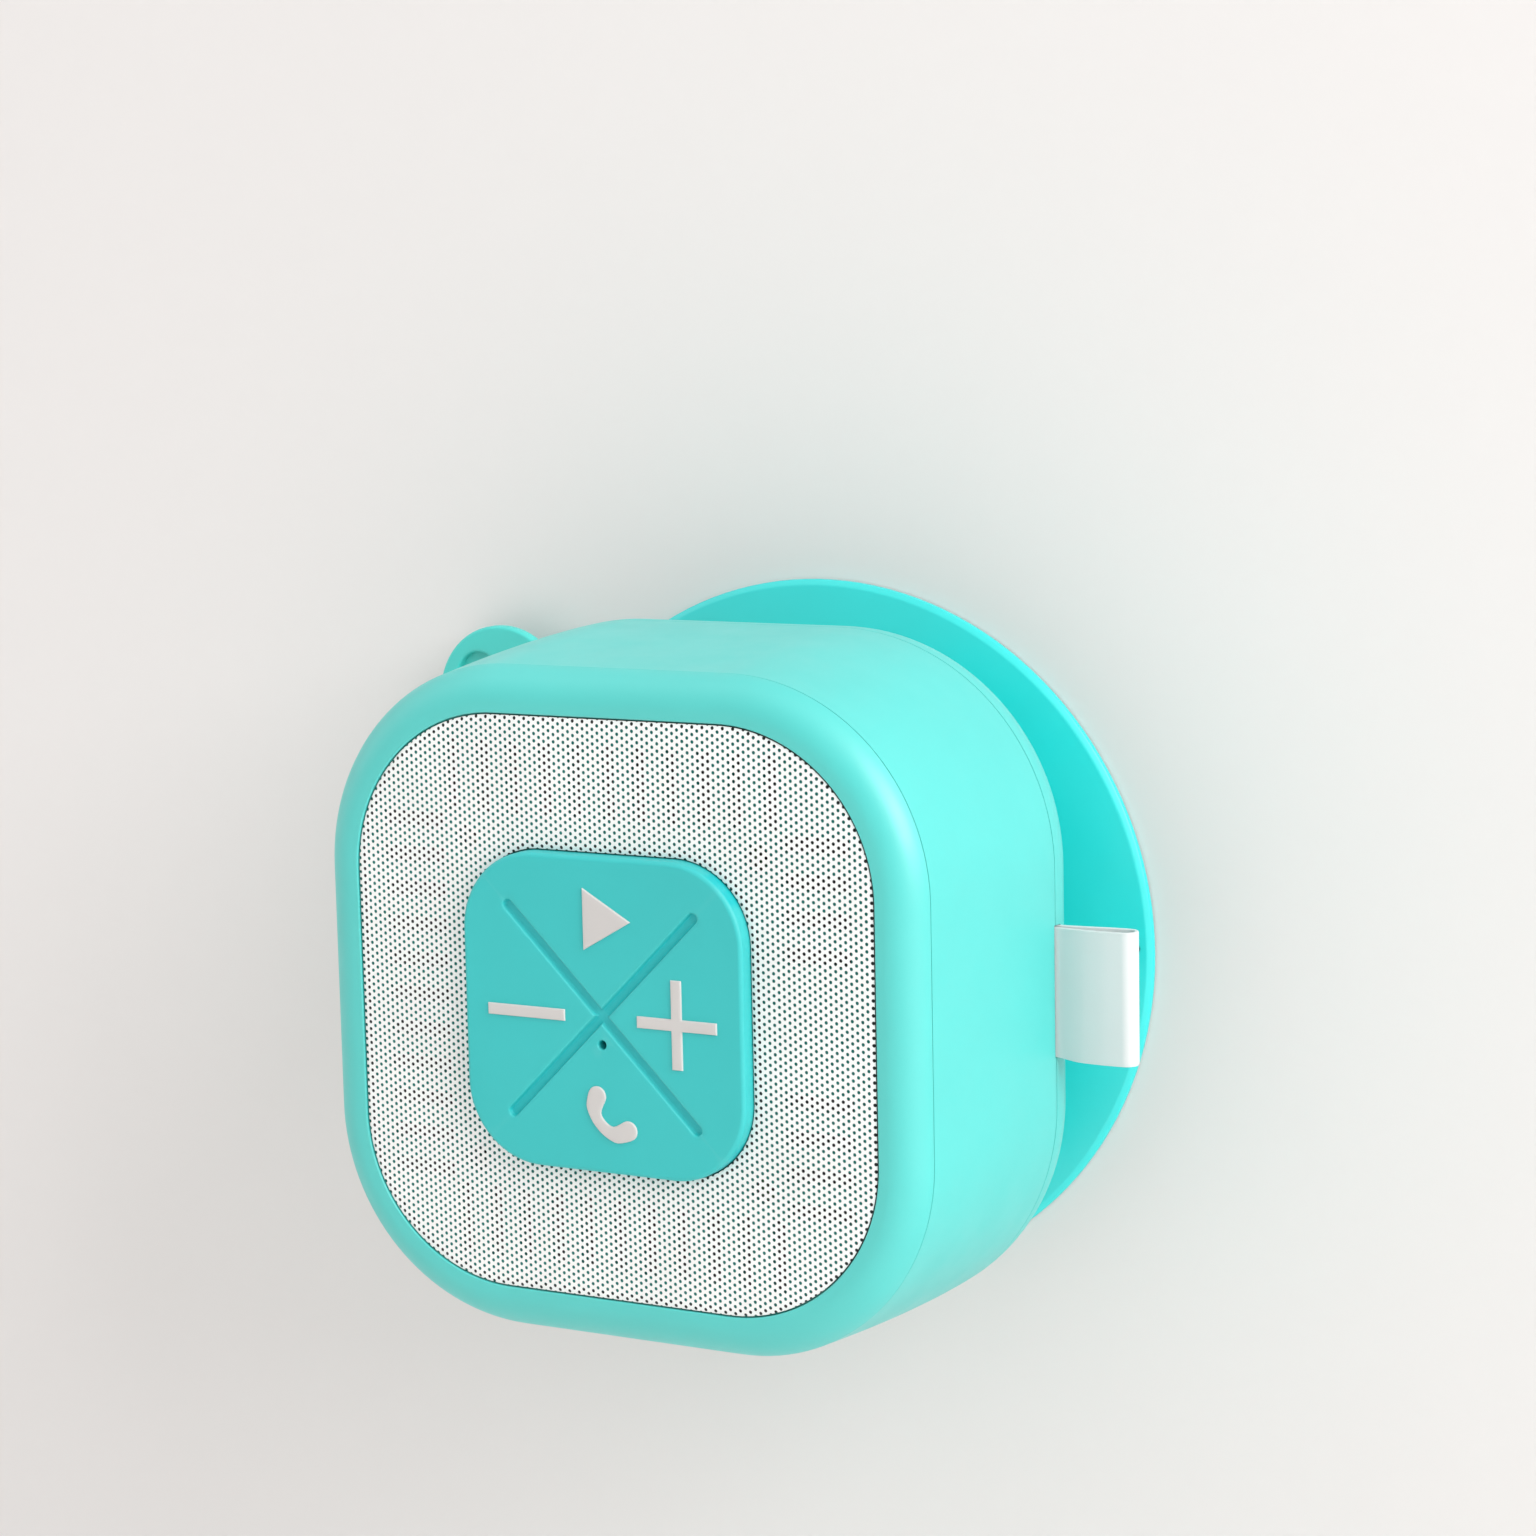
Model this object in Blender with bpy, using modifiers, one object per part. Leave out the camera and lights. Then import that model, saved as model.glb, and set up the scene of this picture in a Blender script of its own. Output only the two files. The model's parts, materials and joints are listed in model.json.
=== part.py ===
"""Shower speaker: a rounded-square body that turns on a rubber suction cup.

The wall is the plane y = 0, the front faces -Y and +Z is up.  The origin is the middle of
the suction cup where it touches the wall.  A depth is a distance behind the front of the
grille, so the wall is at depth WALL_DEPTH.
"""

import math

import bmesh
import bpy

MM = 0.001
NAME = "shower_speaker"

# Overall layout, front to back
WALL_DEPTH = 56.8 * MM
GAP = 0.3 * MM
FRONT_SEAM_DEPTH = 4.55 * MM
REAR_SEAM_DEPTH = 34.1 * MM
BACK_DEPTH = 41.9 * MM

# Half widths and corner radii of the rounded-square outline
GRILLE_HALF = 35.1 * MM
GRILLE_CORNER = 19.95 * MM
FRONT_SEAM_HALF = 40.8 * MM
FRONT_SEAM_CORNER = 25.65 * MM
REAR_SEAM_HALF = 43.0 * MM
REAR_SEAM_CORNER = 28.5 * MM
CHAMBER_HALF = 38.9 * MM
CHAMBER_CORNER = 24.2 * MM

# Button pad
PAD_HALF = 19.1 * MM
PAD_CORNER = 9.85 * MM
PAD_TOP = -1.85 * MM
PAD_EDGE = 1.1 * MM
GROOVE_WIDTH = 1.35 * MM
GROOVE_REACH = 12.6 * MM
GROOVE_FLOOR = -1.3 * MM
KEY_BACK = 2.5 * MM
KEY_OUTER = 17.0 * MM
KEY_OUTER_CORNER = 7.75 * MM
MIC_DROP = 3.45 * MM
MIC_RADIUS = 0.65 * MM
MIC_LAND_RADIUS = 5.0 * MM
SYMBOL_TOP = PAD_TOP - 0.25 * MM
SYMBOL_DEPTH = 0.55 * MM
SYMBOL_CLEARANCE = 0.25 * MM
STROKE = 1.4 * MM
PLUS_CENTRE = 10.3 * MM
PLUS_ARM = 10.7 * MM
SIGN_UP = -0.2 * MM
KEY_MIDDLE = 11.0 * MM

# Slots of the front baffle
SLOT_PITCH = 4.33 * MM
SLOT_COUNT = 11
SLOT_WIDTH = 1.95 * MM
SLOT_INNER = 23.0 * MM
SLOT_OUTER = 31.9 * MM

# Fasteners
FRONT_SCREW = 19.8 * MM
REAR_SCREW_X = 31.0 * MM
REAR_SCREW_Z = 17.0 * MM
SCREW_SHANK = 1.0 * MM
SCREW_BORE = 1.35 * MM
ACCESS_RADIUS = 1.65 * MM
BOSS_RADIUS = 2.6 * MM

# Driver
DRIVER_RADIUS = 22.5 * MM
FLANGE_FRONT = 11.0 * MM
SHELF_FRONT = 13.3 * MM
SHELF_BACK = 15.1 * MM
SHELF_HOLE = 20.9 * MM

# Electronics
BUTTON_BOARD_FRONT = 5.3 * MM
BUTTON_BOARD_BACK = 6.5 * MM
MAIN_BOARD_FRONT = 31.0 * MM
MAIN_BOARD_BACK = 32.2 * MM
BATTERY_RADIUS = 7.0 * MM
BATTERY_LENGTH = 50.0 * MM
BATTERY_HEIGHT = 29.0 * MM
BATTERY_DEPTH = 24.5 * MM
PORT_X = -6.0 * MM
SWITCH_X = 8.0 * MM
PORT_DEPTH = 29.4 * MM
PORT_FLOOR = -40.9 * MM

# Suction cup
CUP_RADIUS = 46.45 * MM
STUD_RADIUS = 5.0 * MM
SOCKET_RADIUS = 11.0 * MM
TAB_ANGLE = math.radians(147.7)
TAB_HALF_WIDTH = 9.7 * MM
TAB_CENTRE = 55.4 * MM
TAB_HINGE = 46.9 * MM
TAB_FRONT = 51.6 * MM
TAB_BACK = 53.4 * MM
TAB_RECESS = (59.8 * MM, -0.8 * MM)
TAB_RECESS_RADIUS = 3.3 * MM
TAB_WEB = 0.6 * MM

# Loop tag
TAG_HALF_HEIGHT = 8.2 * MM
TAG_MIDDLE = -0.6 * MM
TAG_DEPTH = 34.1 * MM
TAG_HINGE = 42.6 * MM
TAG_ROOT = 42.0 * MM
TAG_ROOT_HALF = 0.75 * MM
TAG_PLAY = 0.35 * MM

# Port flap
FLAP_FRONT = 25.4 * MM
FLAP_BACK = 33.0 * MM
FLAP_HALF_WIDTH = 13.0 * MM
FLAP_TOP = -41.2 * MM
FLAP_BOTTOM = -42.5 * MM

SIDE_STEPS = 8
PAD_EDGE_STEPS = 3
TURN_STEPS = 40
DRIVER_STEPS = 24
SMALL_TURN_STEPS = 14
SCREW_STEPS = 10

# Colour, roughness and metallic value of each finish
FINISHES = {
    "teal_body": ((0.16, 0.78, 0.71), 0.45, 0.0),
    "teal_pad": ((0.10, 0.55, 0.53), 0.55, 0.0),
    "teal_rubber": ((0.10, 0.66, 0.64), 0.40, 0.0),
    "white_grille": ((0.86, 0.86, 0.85), 0.50, 0.2),
    "pale_symbol": ((0.62, 0.62, 0.61), 0.50, 0.0),
    "white_tag": ((0.90, 0.92, 0.92), 0.60, 0.0),
    "black_cloth": ((0.02, 0.02, 0.02), 0.95, 0.0),
    "black_screw": ((0.03, 0.03, 0.03), 0.35, 1.0),
    "bright_steel": ((0.62, 0.62, 0.60), 0.30, 1.0),
    "copper": ((0.80, 0.42, 0.25), 0.35, 1.0),
    "ferrite": ((0.07, 0.07, 0.08), 0.60, 0.0),
    "paper_cone": ((0.04, 0.04, 0.05), 0.80, 0.0),
    "black_rubber": ((0.02, 0.02, 0.02), 0.60, 0.0),
    "spider_cloth": ((0.55, 0.38, 0.12), 0.85, 0.0),
    "green_board": ((0.02, 0.16, 0.06), 0.45, 0.0),
    "black_plastic": ((0.03, 0.03, 0.03), 0.50, 0.0),
    "clear_seal": ((0.60, 0.62, 0.62), 0.50, 0.0),
    "battery_sleeve": ((0.05, 0.16, 0.48), 0.40, 0.0),
    "red_wire": ((0.55, 0.03, 0.02), 0.50, 0.0),
    "ribbon_film": ((0.55, 0.28, 0.05), 0.40, 0.0),
}


# --- Scene and materials ---------------------------------------------------------------

def clear_scene():
    """Remove whatever the file already holds."""
    for item in list(bpy.data.objects):
        bpy.data.objects.remove(item, do_unlink=True)


def new_collection(name):
    """A collection linked to the scene."""
    collection = bpy.data.collections.new(name)
    bpy.context.scene.collection.children.link(collection)
    return collection


def finish_material(finish):
    """The Principled material of one finish, made once."""
    if finish in bpy.data.materials:
        return bpy.data.materials[finish]
    colour, roughness, metallic = FINISHES[finish]
    material = bpy.data.materials.new(finish)
    material.use_nodes = True
    shader = material.node_tree.nodes["Principled BSDF"]
    shader.inputs["Base Color"].default_value = (*colour, 1.0)
    shader.inputs["Roughness"].default_value = roughness
    shader.inputs["Metallic"].default_value = metallic
    material.diffuse_color = (*colour, 1.0)
    return material


def add_object(name, data, finish, smooth=True):
    """Link a mesh or curve as a part, facing the front of the speaker.

    Its local X is world X, its local Y points up and its local Z points out of the front,
    so a depth is a negative local Z.
    """
    item = bpy.data.objects.new(name, data)
    PARTS.objects.link(item)
    item.location = (0, -WALL_DEPTH, 0)
    item.rotation_euler = (math.radians(90), 0, 0)
    if finish:
        data.materials.append(finish_material(finish))
    if smooth and isinstance(data, bpy.types.Mesh):
        data.shade_smooth()
        data.set_sharp_from_angle(angle=math.radians(35))
    return item


def ride_on(empty, *items):
    """Parent parts to an empty on their joint's axis, without moving them."""
    for item in items:
        item.parent = empty
        item.location = item.location - empty.location


def pivot(name, location):
    """An empty on the axis of a joint."""
    empty = bpy.data.objects.new(name, None)
    empty.location = location
    empty.empty_display_size = 5 * MM
    PARTS.objects.link(empty)
    return empty


# --- Outlines --------------------------------------------------------------------------

def arc(centre_x, centre_y, radius, start, end, steps):
    """Points on an arc, angles in degrees."""
    points = []
    for step in range(steps + 1):
        angle = math.radians(start + (end - start) * step / steps)
        points.append((centre_x + radius * math.cos(angle), centre_y + radius * math.sin(angle)))
    return points


def circle(radius, steps=TURN_STEPS, centre_x=0.0, centre_y=0.0):
    """A full circle without a doubled point."""
    return arc(centre_x, centre_y, radius, 0, 360, steps)[:-1]


def rounded_square(half, corner, steps=SIDE_STEPS):
    """A rounded square; a corner radius equal to the half width gives a circle."""
    straight = half - corner
    points = []
    for quarter, (side_x, side_y) in enumerate(((1, 1), (-1, 1), (-1, -1), (1, -1))):
        start = 90 * quarter
        points += arc(side_x * straight, side_y * straight, corner, start, start + 90, steps)
    return points


def rectangle(left, bottom, right, top):
    """A rectangle from its four edges."""
    return [(left, bottom), (right, bottom), (right, top), (left, top)]


def turned_outline(points, quarter_turns):
    """An outline turned about the middle by quarter turns."""
    for _ in range(quarter_turns):
        points = [(-up, x) for x, up in points]
    return points


def wedge(inset, tip):
    """Outline of the upper quadrant of the pad, between the arms of the crossed web.

    inset moves every edge inwards; tip is the radius of the fixed land round the middle.
    """
    offset = (GROOVE_WIDTH / 2 + inset) * math.sqrt(2)
    corner = KEY_OUTER_CORNER - inset
    centre = KEY_OUTER - KEY_OUTER_CORNER
    start = math.degrees(math.acos(-offset / (math.sqrt(2) * corner))) - 45
    right = arc(centre, centre, corner, start, 90, 5)
    left = [(-x, up) for x, up in reversed(right)]
    if tip == 0:
        return [(0, offset)] + right + left
    reach = tip + inset
    swing = math.degrees(math.acos(offset / math.sqrt(2) / reach)) - 45
    return arc(0, 0, reach, 90 + swing, 90 - swing, 4) + right + left


def triangle_outline(grow):
    """The play triangle, grown outwards by grow."""
    left, right, half = -2.1 * MM, 4.35 * MM, 3.72 * MM
    middle = 11.6 * MM
    slope = half / (right - left)
    lift = grow * (math.hypot(1, slope) + slope)
    ahead = grow * math.hypot(1, slope) / slope
    base = half + lift
    return [(left - grow, middle - base), (right + ahead, middle), (left - grow, middle + base)]


def plus_outline(grow):
    """A plus sign to the right of the middle."""
    reach = PLUS_ARM / 2 + grow
    thin = STROKE / 2 + grow
    arm = [(thin, thin), (thin, reach), (-thin, reach)]
    points = []
    for quarter in range(4):
        points += turned_outline(arm, quarter)
    return [(PLUS_CENTRE + x, SIGN_UP + up) for x, up in points]


def minus_outline(grow):
    """A minus sign to the left of the middle."""
    reach = PLUS_ARM / 2 + grow
    thin = STROKE / 2 + grow
    bar = rectangle(-reach, -thin, reach, thin)
    return [(x - PLUS_CENTRE, SIGN_UP + up) for x, up in bar]


def handset_outline(grow):
    """A telephone handset: a bar bent round two circles, with a round lobe at each end.

    Every corner is eased by averaging it with its neighbours.
    """
    lobe = 1.25 * MM + grow
    outline = arc(3.29 * MM, -9.65 * MM, 5.74 * MM + grow, 184, 261, 8)
    outline += arc(3.36 * MM, -13.55 * MM, lobe, -70, 130, 9)
    outline += arc(2.08 * MM, -10.74 * MM, 2.67 * MM - grow, 258, 197, 5)
    outline += arc(-0.82 * MM, -9.68 * MM, lobe, -45, 140, 8)
    return [((one[0] + two[0] * 2 + three[0]) / 4, (one[1] + two[1] * 2 + three[1]) / 4)
            for one, two, three in zip(outline[-1:] + outline[:-1], outline,
                                       outline[1:] + outline[:1])]


# --- Solid makers ----------------------------------------------------------------------

def mesh_from_bmesh(name, shape):
    """Store a bmesh as a mesh with its faces pointing out."""
    bmesh.ops.recalc_face_normals(shape, faces=shape.faces)
    mesh = bpy.data.meshes.new(name)
    shape.to_mesh(mesh)
    shape.free()
    return mesh


def loft(name, sections, finish, looped=False):
    """A body through rounded-square sections (depth, half width, corner radius).

    A looped loft joins its last section to its first, which makes a frame; otherwise the
    two ends are capped.
    """
    shape = bmesh.new()
    rings = []
    for depth, half, corner in sections:
        outline = rounded_square(half, corner)
        rings.append([shape.verts.new((x, up, -depth)) for x, up in outline])
    pairs = list(zip(rings, rings[1:]))
    if looped:
        pairs.append((rings[-1], rings[0]))
    else:
        shape.faces.new(rings[0])
        shape.faces.new(rings[-1])
    for one, other in pairs:
        for index in range(len(one)):
            after = (index + 1) % len(one)
            shape.faces.new((one[index], one[after], other[after], other[index]))
    bmesh.ops.remove_doubles(shape, verts=shape.verts, dist=0.001 * MM)
    return add_object(name, mesh_from_bmesh(name, shape), finish)


def solid_from_curve(item):
    """Turn a curve object into a mesh object with welded caps."""
    bpy.context.view_layer.update()
    graph = bpy.context.evaluated_depsgraph_get()
    mesh = bpy.data.meshes.new_from_object(item.evaluated_get(graph))
    mesh.name = item.name
    shape = bmesh.new()
    shape.from_mesh(mesh)
    bmesh.ops.remove_doubles(shape, verts=shape.verts, dist=0.001 * MM)
    bmesh.ops.recalc_face_normals(shape, faces=shape.faces)
    shape.to_mesh(mesh)
    shape.free()
    name = item.name
    solid = bpy.data.objects.new(name + "_solid", mesh)
    PARTS.objects.link(solid)
    solid.matrix_world = item.matrix_world.copy()
    bpy.data.objects.remove(item)
    solid.name = name
    return solid


def plate(name, outlines, front, back, finish):
    """A flat plate with holes between two depths."""
    curve = bpy.data.curves.new(name, "CURVE")
    curve.dimensions = "2D"
    curve.fill_mode = "BOTH"
    curve.extrude = (back - front) / 2
    for outline in outlines:
        spline = curve.splines.new("POLY")
        spline.points.add(len(outline) - 1)
        for point, (x, up) in zip(spline.points, outline):
            point.co = (x, up, 0, 1)
        spline.use_cyclic_u = True
    item = add_object(name, curve, finish)
    item.location.y += (front + back) / 2
    return solid_from_curve(item)


def tube(name, points, radius, finish):
    """A round wire through world points."""
    curve = bpy.data.curves.new(name, "CURVE")
    curve.dimensions = "3D"
    curve.bevel_depth = radius
    curve.bevel_resolution = 2
    curve.use_fill_caps = True
    spline = curve.splines.new("POLY")
    spline.points.add(len(points) - 1)
    for point, place in zip(spline.points, points):
        point.co = (*place, 1)
    item = add_object(name, curve, finish)
    item.location = (0, 0, 0)
    item.rotation_euler = (0, 0, 0)
    return solid_from_curve(item)


def turned(name, profile, finish, steps=TURN_STEPS, looped=False):
    """A turned body about the front-to-back axis, from (radius, depth) points.

    The points run down the outer side from front to back; a looped profile makes a ring.
    """
    mesh = bpy.data.meshes.new(name)
    points = [(radius, 0, -depth) for radius, depth in profile]
    edges = [(index, index + 1) for index in range(len(points) - 1)]
    if looped:
        edges.append((len(points) - 1, 0))
    mesh.from_pydata(points, edges, [])
    item = add_object(name, mesh, finish)
    screw = item.modifiers.new("turn", "SCREW")
    screw.axis = "Z"
    screw.steps = steps
    screw.render_steps = steps
    screw.use_merge_vertices = True
    screw.merge_threshold = 0.001 * MM
    screw.use_smooth_shade = True
    return item


def box(name, left, right, front, back, bottom, top, finish):
    """A box from its six faces, in x, depth and height."""
    shape = bmesh.new()
    bmesh.ops.create_cube(shape, size=1)
    bmesh.ops.scale(shape, verts=shape.verts, vec=(right - left, top - bottom, back - front))
    middle = ((left + right) / 2, (bottom + top) / 2, -(front + back) / 2)
    bmesh.ops.translate(shape, verts=shape.verts, vec=middle)
    return add_object(name, mesh_from_bmesh(name, shape), finish, smooth=False)


def rod(name, x, height, radius, front, back, finish, steps=SMALL_TURN_STEPS):
    """A cylinder along the depth."""
    shape = bmesh.new()
    bmesh.ops.create_cone(shape, cap_ends=True, segments=steps, radius1=radius,
                          radius2=radius, depth=back - front)
    bmesh.ops.translate(shape, verts=shape.verts, vec=(0, 0, -(front + back) / 2))
    item = add_object(name, mesh_from_bmesh(name, shape), finish)
    item.location.x = x
    item.location.z = height
    return item


def hide_as_tool(tool):
    """Move a cutting or joining body out of the parts."""
    PARTS.objects.unlink(tool)
    CUTTERS.objects.link(tool)
    tool.hide_render = True
    tool.display_type = "WIRE"
    for modifier in tool.modifiers:
        modifier.show_expanded = False


def cut(item, *tools, solver="EXACT"):
    """Subtract bodies from a part."""
    combine(item, "DIFFERENCE", tools, solver)


def join(item, *tools):
    """Merge bodies into a part."""
    combine(item, "UNION", tools, "EXACT")


def combine(item, operation, tools, solver):
    """Add one Boolean for each tool body."""
    for tool in tools:
        modifier = item.modifiers.new(tool.name, "BOOLEAN")
        modifier.operation = operation
        modifier.solver = solver
        modifier.object = tool
        hide_as_tool(tool)


# --- Casing ----------------------------------------------------------------------------

def side_section(depth):
    """Outline of the casing's side between the two seams, which flares with a soft curve."""
    share = (depth - FRONT_SEAM_DEPTH) / (REAR_SEAM_DEPTH - FRONT_SEAM_DEPTH)
    eased = 1 - (1 - share) ** 1.6
    half = FRONT_SEAM_HALF + (REAR_SEAM_HALF - FRONT_SEAM_HALF) * eased
    corner = FRONT_SEAM_CORNER + (REAR_SEAM_CORNER - FRONT_SEAM_CORNER) * eased
    return depth, half, corner


def front_section(depth, half):
    """A section of the front stack, a constant offset from the grille's outline."""
    return depth, half, GRILLE_CORNER + half - GRILLE_HALF


def rear_section(depth, half):
    """A section of the back, a constant offset from the rear seam."""
    return depth, half, REAR_SEAM_CORNER + half - REAR_SEAM_HALF


def make_front_bezel():
    """The front frame: a flat land round the grille, then a rounded edge to the seam."""
    land = 36.3 * MM
    seam = FRONT_SEAM_DEPTH - GAP / 2
    inner = 38.2 * MM
    shoulder = 37.4 * MM
    lip = GRILLE_HALF + 0.35 * MM
    lip_back = 0.55 * MM
    sections = [front_section(lip_back, lip), front_section(0, lip + 0.1 * MM)]
    for step in range(6):
        angle = math.radians(90 * step / 5)
        half = land + (FRONT_SEAM_HALF - land) * math.sin(angle)
        depth = seam * (1 - math.cos(angle))
        sections.append(front_section(depth, half))
    sections.append(front_section(seam, inner))
    sections.append(front_section(1.6 * MM, inner))
    sections.append(front_section(lip_back, shoulder))
    return loft("front_bezel", sections, "teal_body", looped=True)


def make_mid_housing():
    """The sleeve between the seams, with the shelf that carries the driver."""
    front = FRONT_SEAM_DEPTH + GAP / 2
    back = REAR_SEAM_DEPTH - GAP / 2
    rebate = front + 1.2 * MM
    ledge = 2.65 * MM
    spigot = 37.9 * MM
    groove = 39.4 * MM
    throat = 36.3 * MM
    lip = 40.5 * MM
    lip_back = back + 2.2 * MM
    sections = [side_section(front)]
    sections += [side_section(front + (back - front) * step / 4) for step in (1, 2, 3, 4)]
    sections.append(rear_section(back, lip))
    sections.append(rear_section(lip_back, lip))
    sections.append((lip_back, CHAMBER_HALF, CHAMBER_CORNER))
    sections.append((SHELF_BACK, CHAMBER_HALF, CHAMBER_CORNER))
    sections.append((SHELF_BACK, SHELF_HOLE, SHELF_HOLE))
    sections.append((SHELF_FRONT, SHELF_HOLE, SHELF_HOLE))
    sections.append(front_section(SHELF_FRONT, throat))
    sections.append(front_section(ledge, throat))
    sections.append(front_section(ledge, spigot))
    sections.append(front_section(rebate, spigot))
    sections.append(front_section(rebate, groove))
    sections.append(front_section(front, groove))
    housing = loft("mid_housing", sections, "teal_body", looped=True)

    for index, (side_x, side_z) in enumerate(CORNERS):
        boss = rod(f"front_boss_{index}", side_x * FRONT_SCREW, side_z * FRONT_SCREW,
                   2.4 * MM, 6.8 * MM, SHELF_FRONT + 0.9 * MM, None)
        hole = rod(f"front_boss_bore_{index}", side_x * FRONT_SCREW, side_z * FRONT_SCREW,
                   SCREW_BORE, 5 * MM, 12.2 * MM, None)
        rear = rod(f"rear_boss_{index}", side_x * REAR_SCREW_X, side_z * REAR_SCREW_Z,
                   BOSS_RADIUS, SHELF_BACK - 0.9 * MM, 39.1 * MM, None)
        rear_hole = rod(f"rear_boss_bore_{index}", side_x * REAR_SCREW_X,
                        side_z * REAR_SCREW_Z, SCREW_BORE, 29 * MM, 41 * MM, None)
        join(housing, boss, rear)
        cut(housing, hole, rear_hole)

    cut(housing, box("flap_recess", -FLAP_HALF_WIDTH - GAP, FLAP_HALF_WIDTH + GAP,
                     FLAP_FRONT - GAP, FLAP_BACK + GAP, -45 * MM, PORT_FLOOR, None))
    cut(housing, box("port_hole", PORT_X - 4.2 * MM, PORT_X + 4.2 * MM, PORT_DEPTH - 1.6 * MM,
                     PORT_DEPTH + 1.6 * MM, -42 * MM, -38 * MM, None))
    cut(housing, box("switch_hole", SWITCH_X - 2.6 * MM, SWITCH_X + 2.6 * MM,
                     PORT_DEPTH - 1.2 * MM, PORT_DEPTH + 1.2 * MM, -42 * MM, -38 * MM, None))
    cut(housing, box("ribbon_slot", -5 * MM, 5 * MM, SHELF_FRONT - 1 * MM,
                     SHELF_BACK + 1 * MM, -34.9 * MM, -32.7 * MM, None))
    cut(housing, tag_notch("housing_notch", 41.2 * MM))
    return housing


def make_rear_cover():
    """The back shell, with the socket of the swivel in its middle."""
    front = REAR_SEAM_DEPTH + GAP / 2
    strip = 34.7 * MM
    flat = 35.0 * MM
    inside = 40.8 * MM
    inside_back = 37.4 * MM
    floor = BACK_DEPTH - 2.3 * MM
    floor_half = 35.6 * MM
    socket_floor = 35.6 * MM
    socket_wall = SOCKET_RADIUS + 2.2 * MM
    sections = [(socket_floor, SOCKET_RADIUS, SOCKET_RADIUS)]
    sections.append((BACK_DEPTH, SOCKET_RADIUS, SOCKET_RADIUS))
    for step in range(6):
        angle = math.radians(90 - 90 * step / 5)
        half = flat + (REAR_SEAM_HALF - flat) * math.cos(angle)
        depth = strip + (BACK_DEPTH - strip) * math.sin(angle)
        sections.append(rear_section(depth, half))
    sections.append(rear_section(front, REAR_SEAM_HALF))
    sections.append(rear_section(front, inside))
    sections.append(rear_section(inside_back, inside))
    sections.append(rear_section(floor, floor_half))
    sections.append((floor, socket_wall, socket_wall))
    sections.append((socket_floor - 2 * MM, socket_wall, socket_wall))
    cover = loft("rear_cover", sections, "teal_body")
    for index, (side_x, side_z) in enumerate(CORNERS):
        place = (side_x * REAR_SCREW_X, side_z * REAR_SCREW_Z)
        cut(cover, rod(f"rear_screw_hole_{index}", *place, SCREW_BORE, 38 * MM, 43 * MM, None))
        cut(cover, rod(f"rear_screw_sink_{index}", *place, 2.6 * MM, 40.6 * MM, 43 * MM, None))
    cut(cover, tag_notch("cover_notch", 40.2 * MM))
    return cover


def tag_notch(name, inner):
    """A cutter for the opening that the tag's ends sit in, from inner outwards."""
    half_height = TAG_HALF_HEIGHT + GAP
    half_depth = TAG_ROOT_HALF + TAG_PLAY
    return box(name, inner, 45 * MM, TAG_DEPTH - half_depth, TAG_DEPTH + half_depth,
               TAG_MIDDLE - half_height, TAG_MIDDLE + half_height, None)


def make_gaskets():
    """The two seam seals, each in its own groove."""
    front = FRONT_SEAM_DEPTH + GAP / 2
    loft("front_gasket", [front_section(front, 38.2 * MM), front_section(front, 39.1 * MM),
                          front_section(front + 0.9 * MM, 39.1 * MM),
                          front_section(front + 0.9 * MM, 38.2 * MM)], "clear_seal", True)
    back = REAR_SEAM_DEPTH + GAP / 2
    inner, outer = 39.2 * MM, 40.2 * MM
    start = back + 2.35 * MM
    loft("rear_gasket", [rear_section(start, inner), rear_section(start, outer),
                         rear_section(start + 0.5 * MM, outer),
                         rear_section(start + 0.5 * MM, inner)], "clear_seal", True)


def make_port_flap():
    """The rubber flap over the charging port, hinged on its front edge."""
    flap = box("port_flap", -FLAP_HALF_WIDTH, FLAP_HALF_WIDTH, FLAP_FRONT, FLAP_BACK,
               FLAP_BOTTOM, FLAP_TOP, "teal_rubber")
    hinge = pivot("flap_hinge", (0, FLAP_FRONT + 0.5 * MM - WALL_DEPTH, FLAP_BOTTOM + 0.2 * MM))
    ride_on(hinge, flap)


def make_loop_tag():
    """The folded loop in the rear seam: a root in the notch and an open loop outside."""
    fold = 51.85 * MM
    bulge = 1.6 * MM
    hollow = 1.0 * MM
    neck = 43.4 * MM
    outer = [(TAG_ROOT, -TAG_ROOT_HALF), (neck, -TAG_ROOT_HALF), (46.0 * MM, -bulge)]
    outer += arc(fold, 0, bulge, -90, 90, 8)
    outer += [(46.0 * MM, bulge), (neck, TAG_ROOT_HALF), (TAG_ROOT, TAG_ROOT_HALF)]
    inner = [(46.6 * MM, -hollow)] + arc(fold, 0, hollow, -90, 90, 6) + [(46.6 * MM, hollow)]
    tag = plate("loop_tag", (outer, inner), 0, 2 * TAG_HALF_HEIGHT, "white_tag")
    tag.rotation_euler = (0, 0, 0)
    tag.location = (0, TAG_DEPTH - WALL_DEPTH, TAG_MIDDLE)
    ride_on(pivot("tag_hinge", (TAG_HINGE, TAG_DEPTH - WALL_DEPTH, TAG_MIDDLE)), tag)


# --- Front stack -----------------------------------------------------------------------

def slot_outlines():
    """The baffle's slots: a row on each side, with a solid patch at the middle right."""
    outlines = []
    for quarter in range(4):
        for index in range(SLOT_COUNT):
            place = (index - (SLOT_COUNT - 1) / 2) * SLOT_PITCH
            if quarter == 0 and abs(place) < 1.5 * SLOT_PITCH:
                continue
            slot = rectangle(SLOT_INNER, place - SLOT_WIDTH / 2, SLOT_OUTER,
                             place + SLOT_WIDTH / 2)
            outlines.append(turned_outline(slot, quarter))
    return outlines


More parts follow.
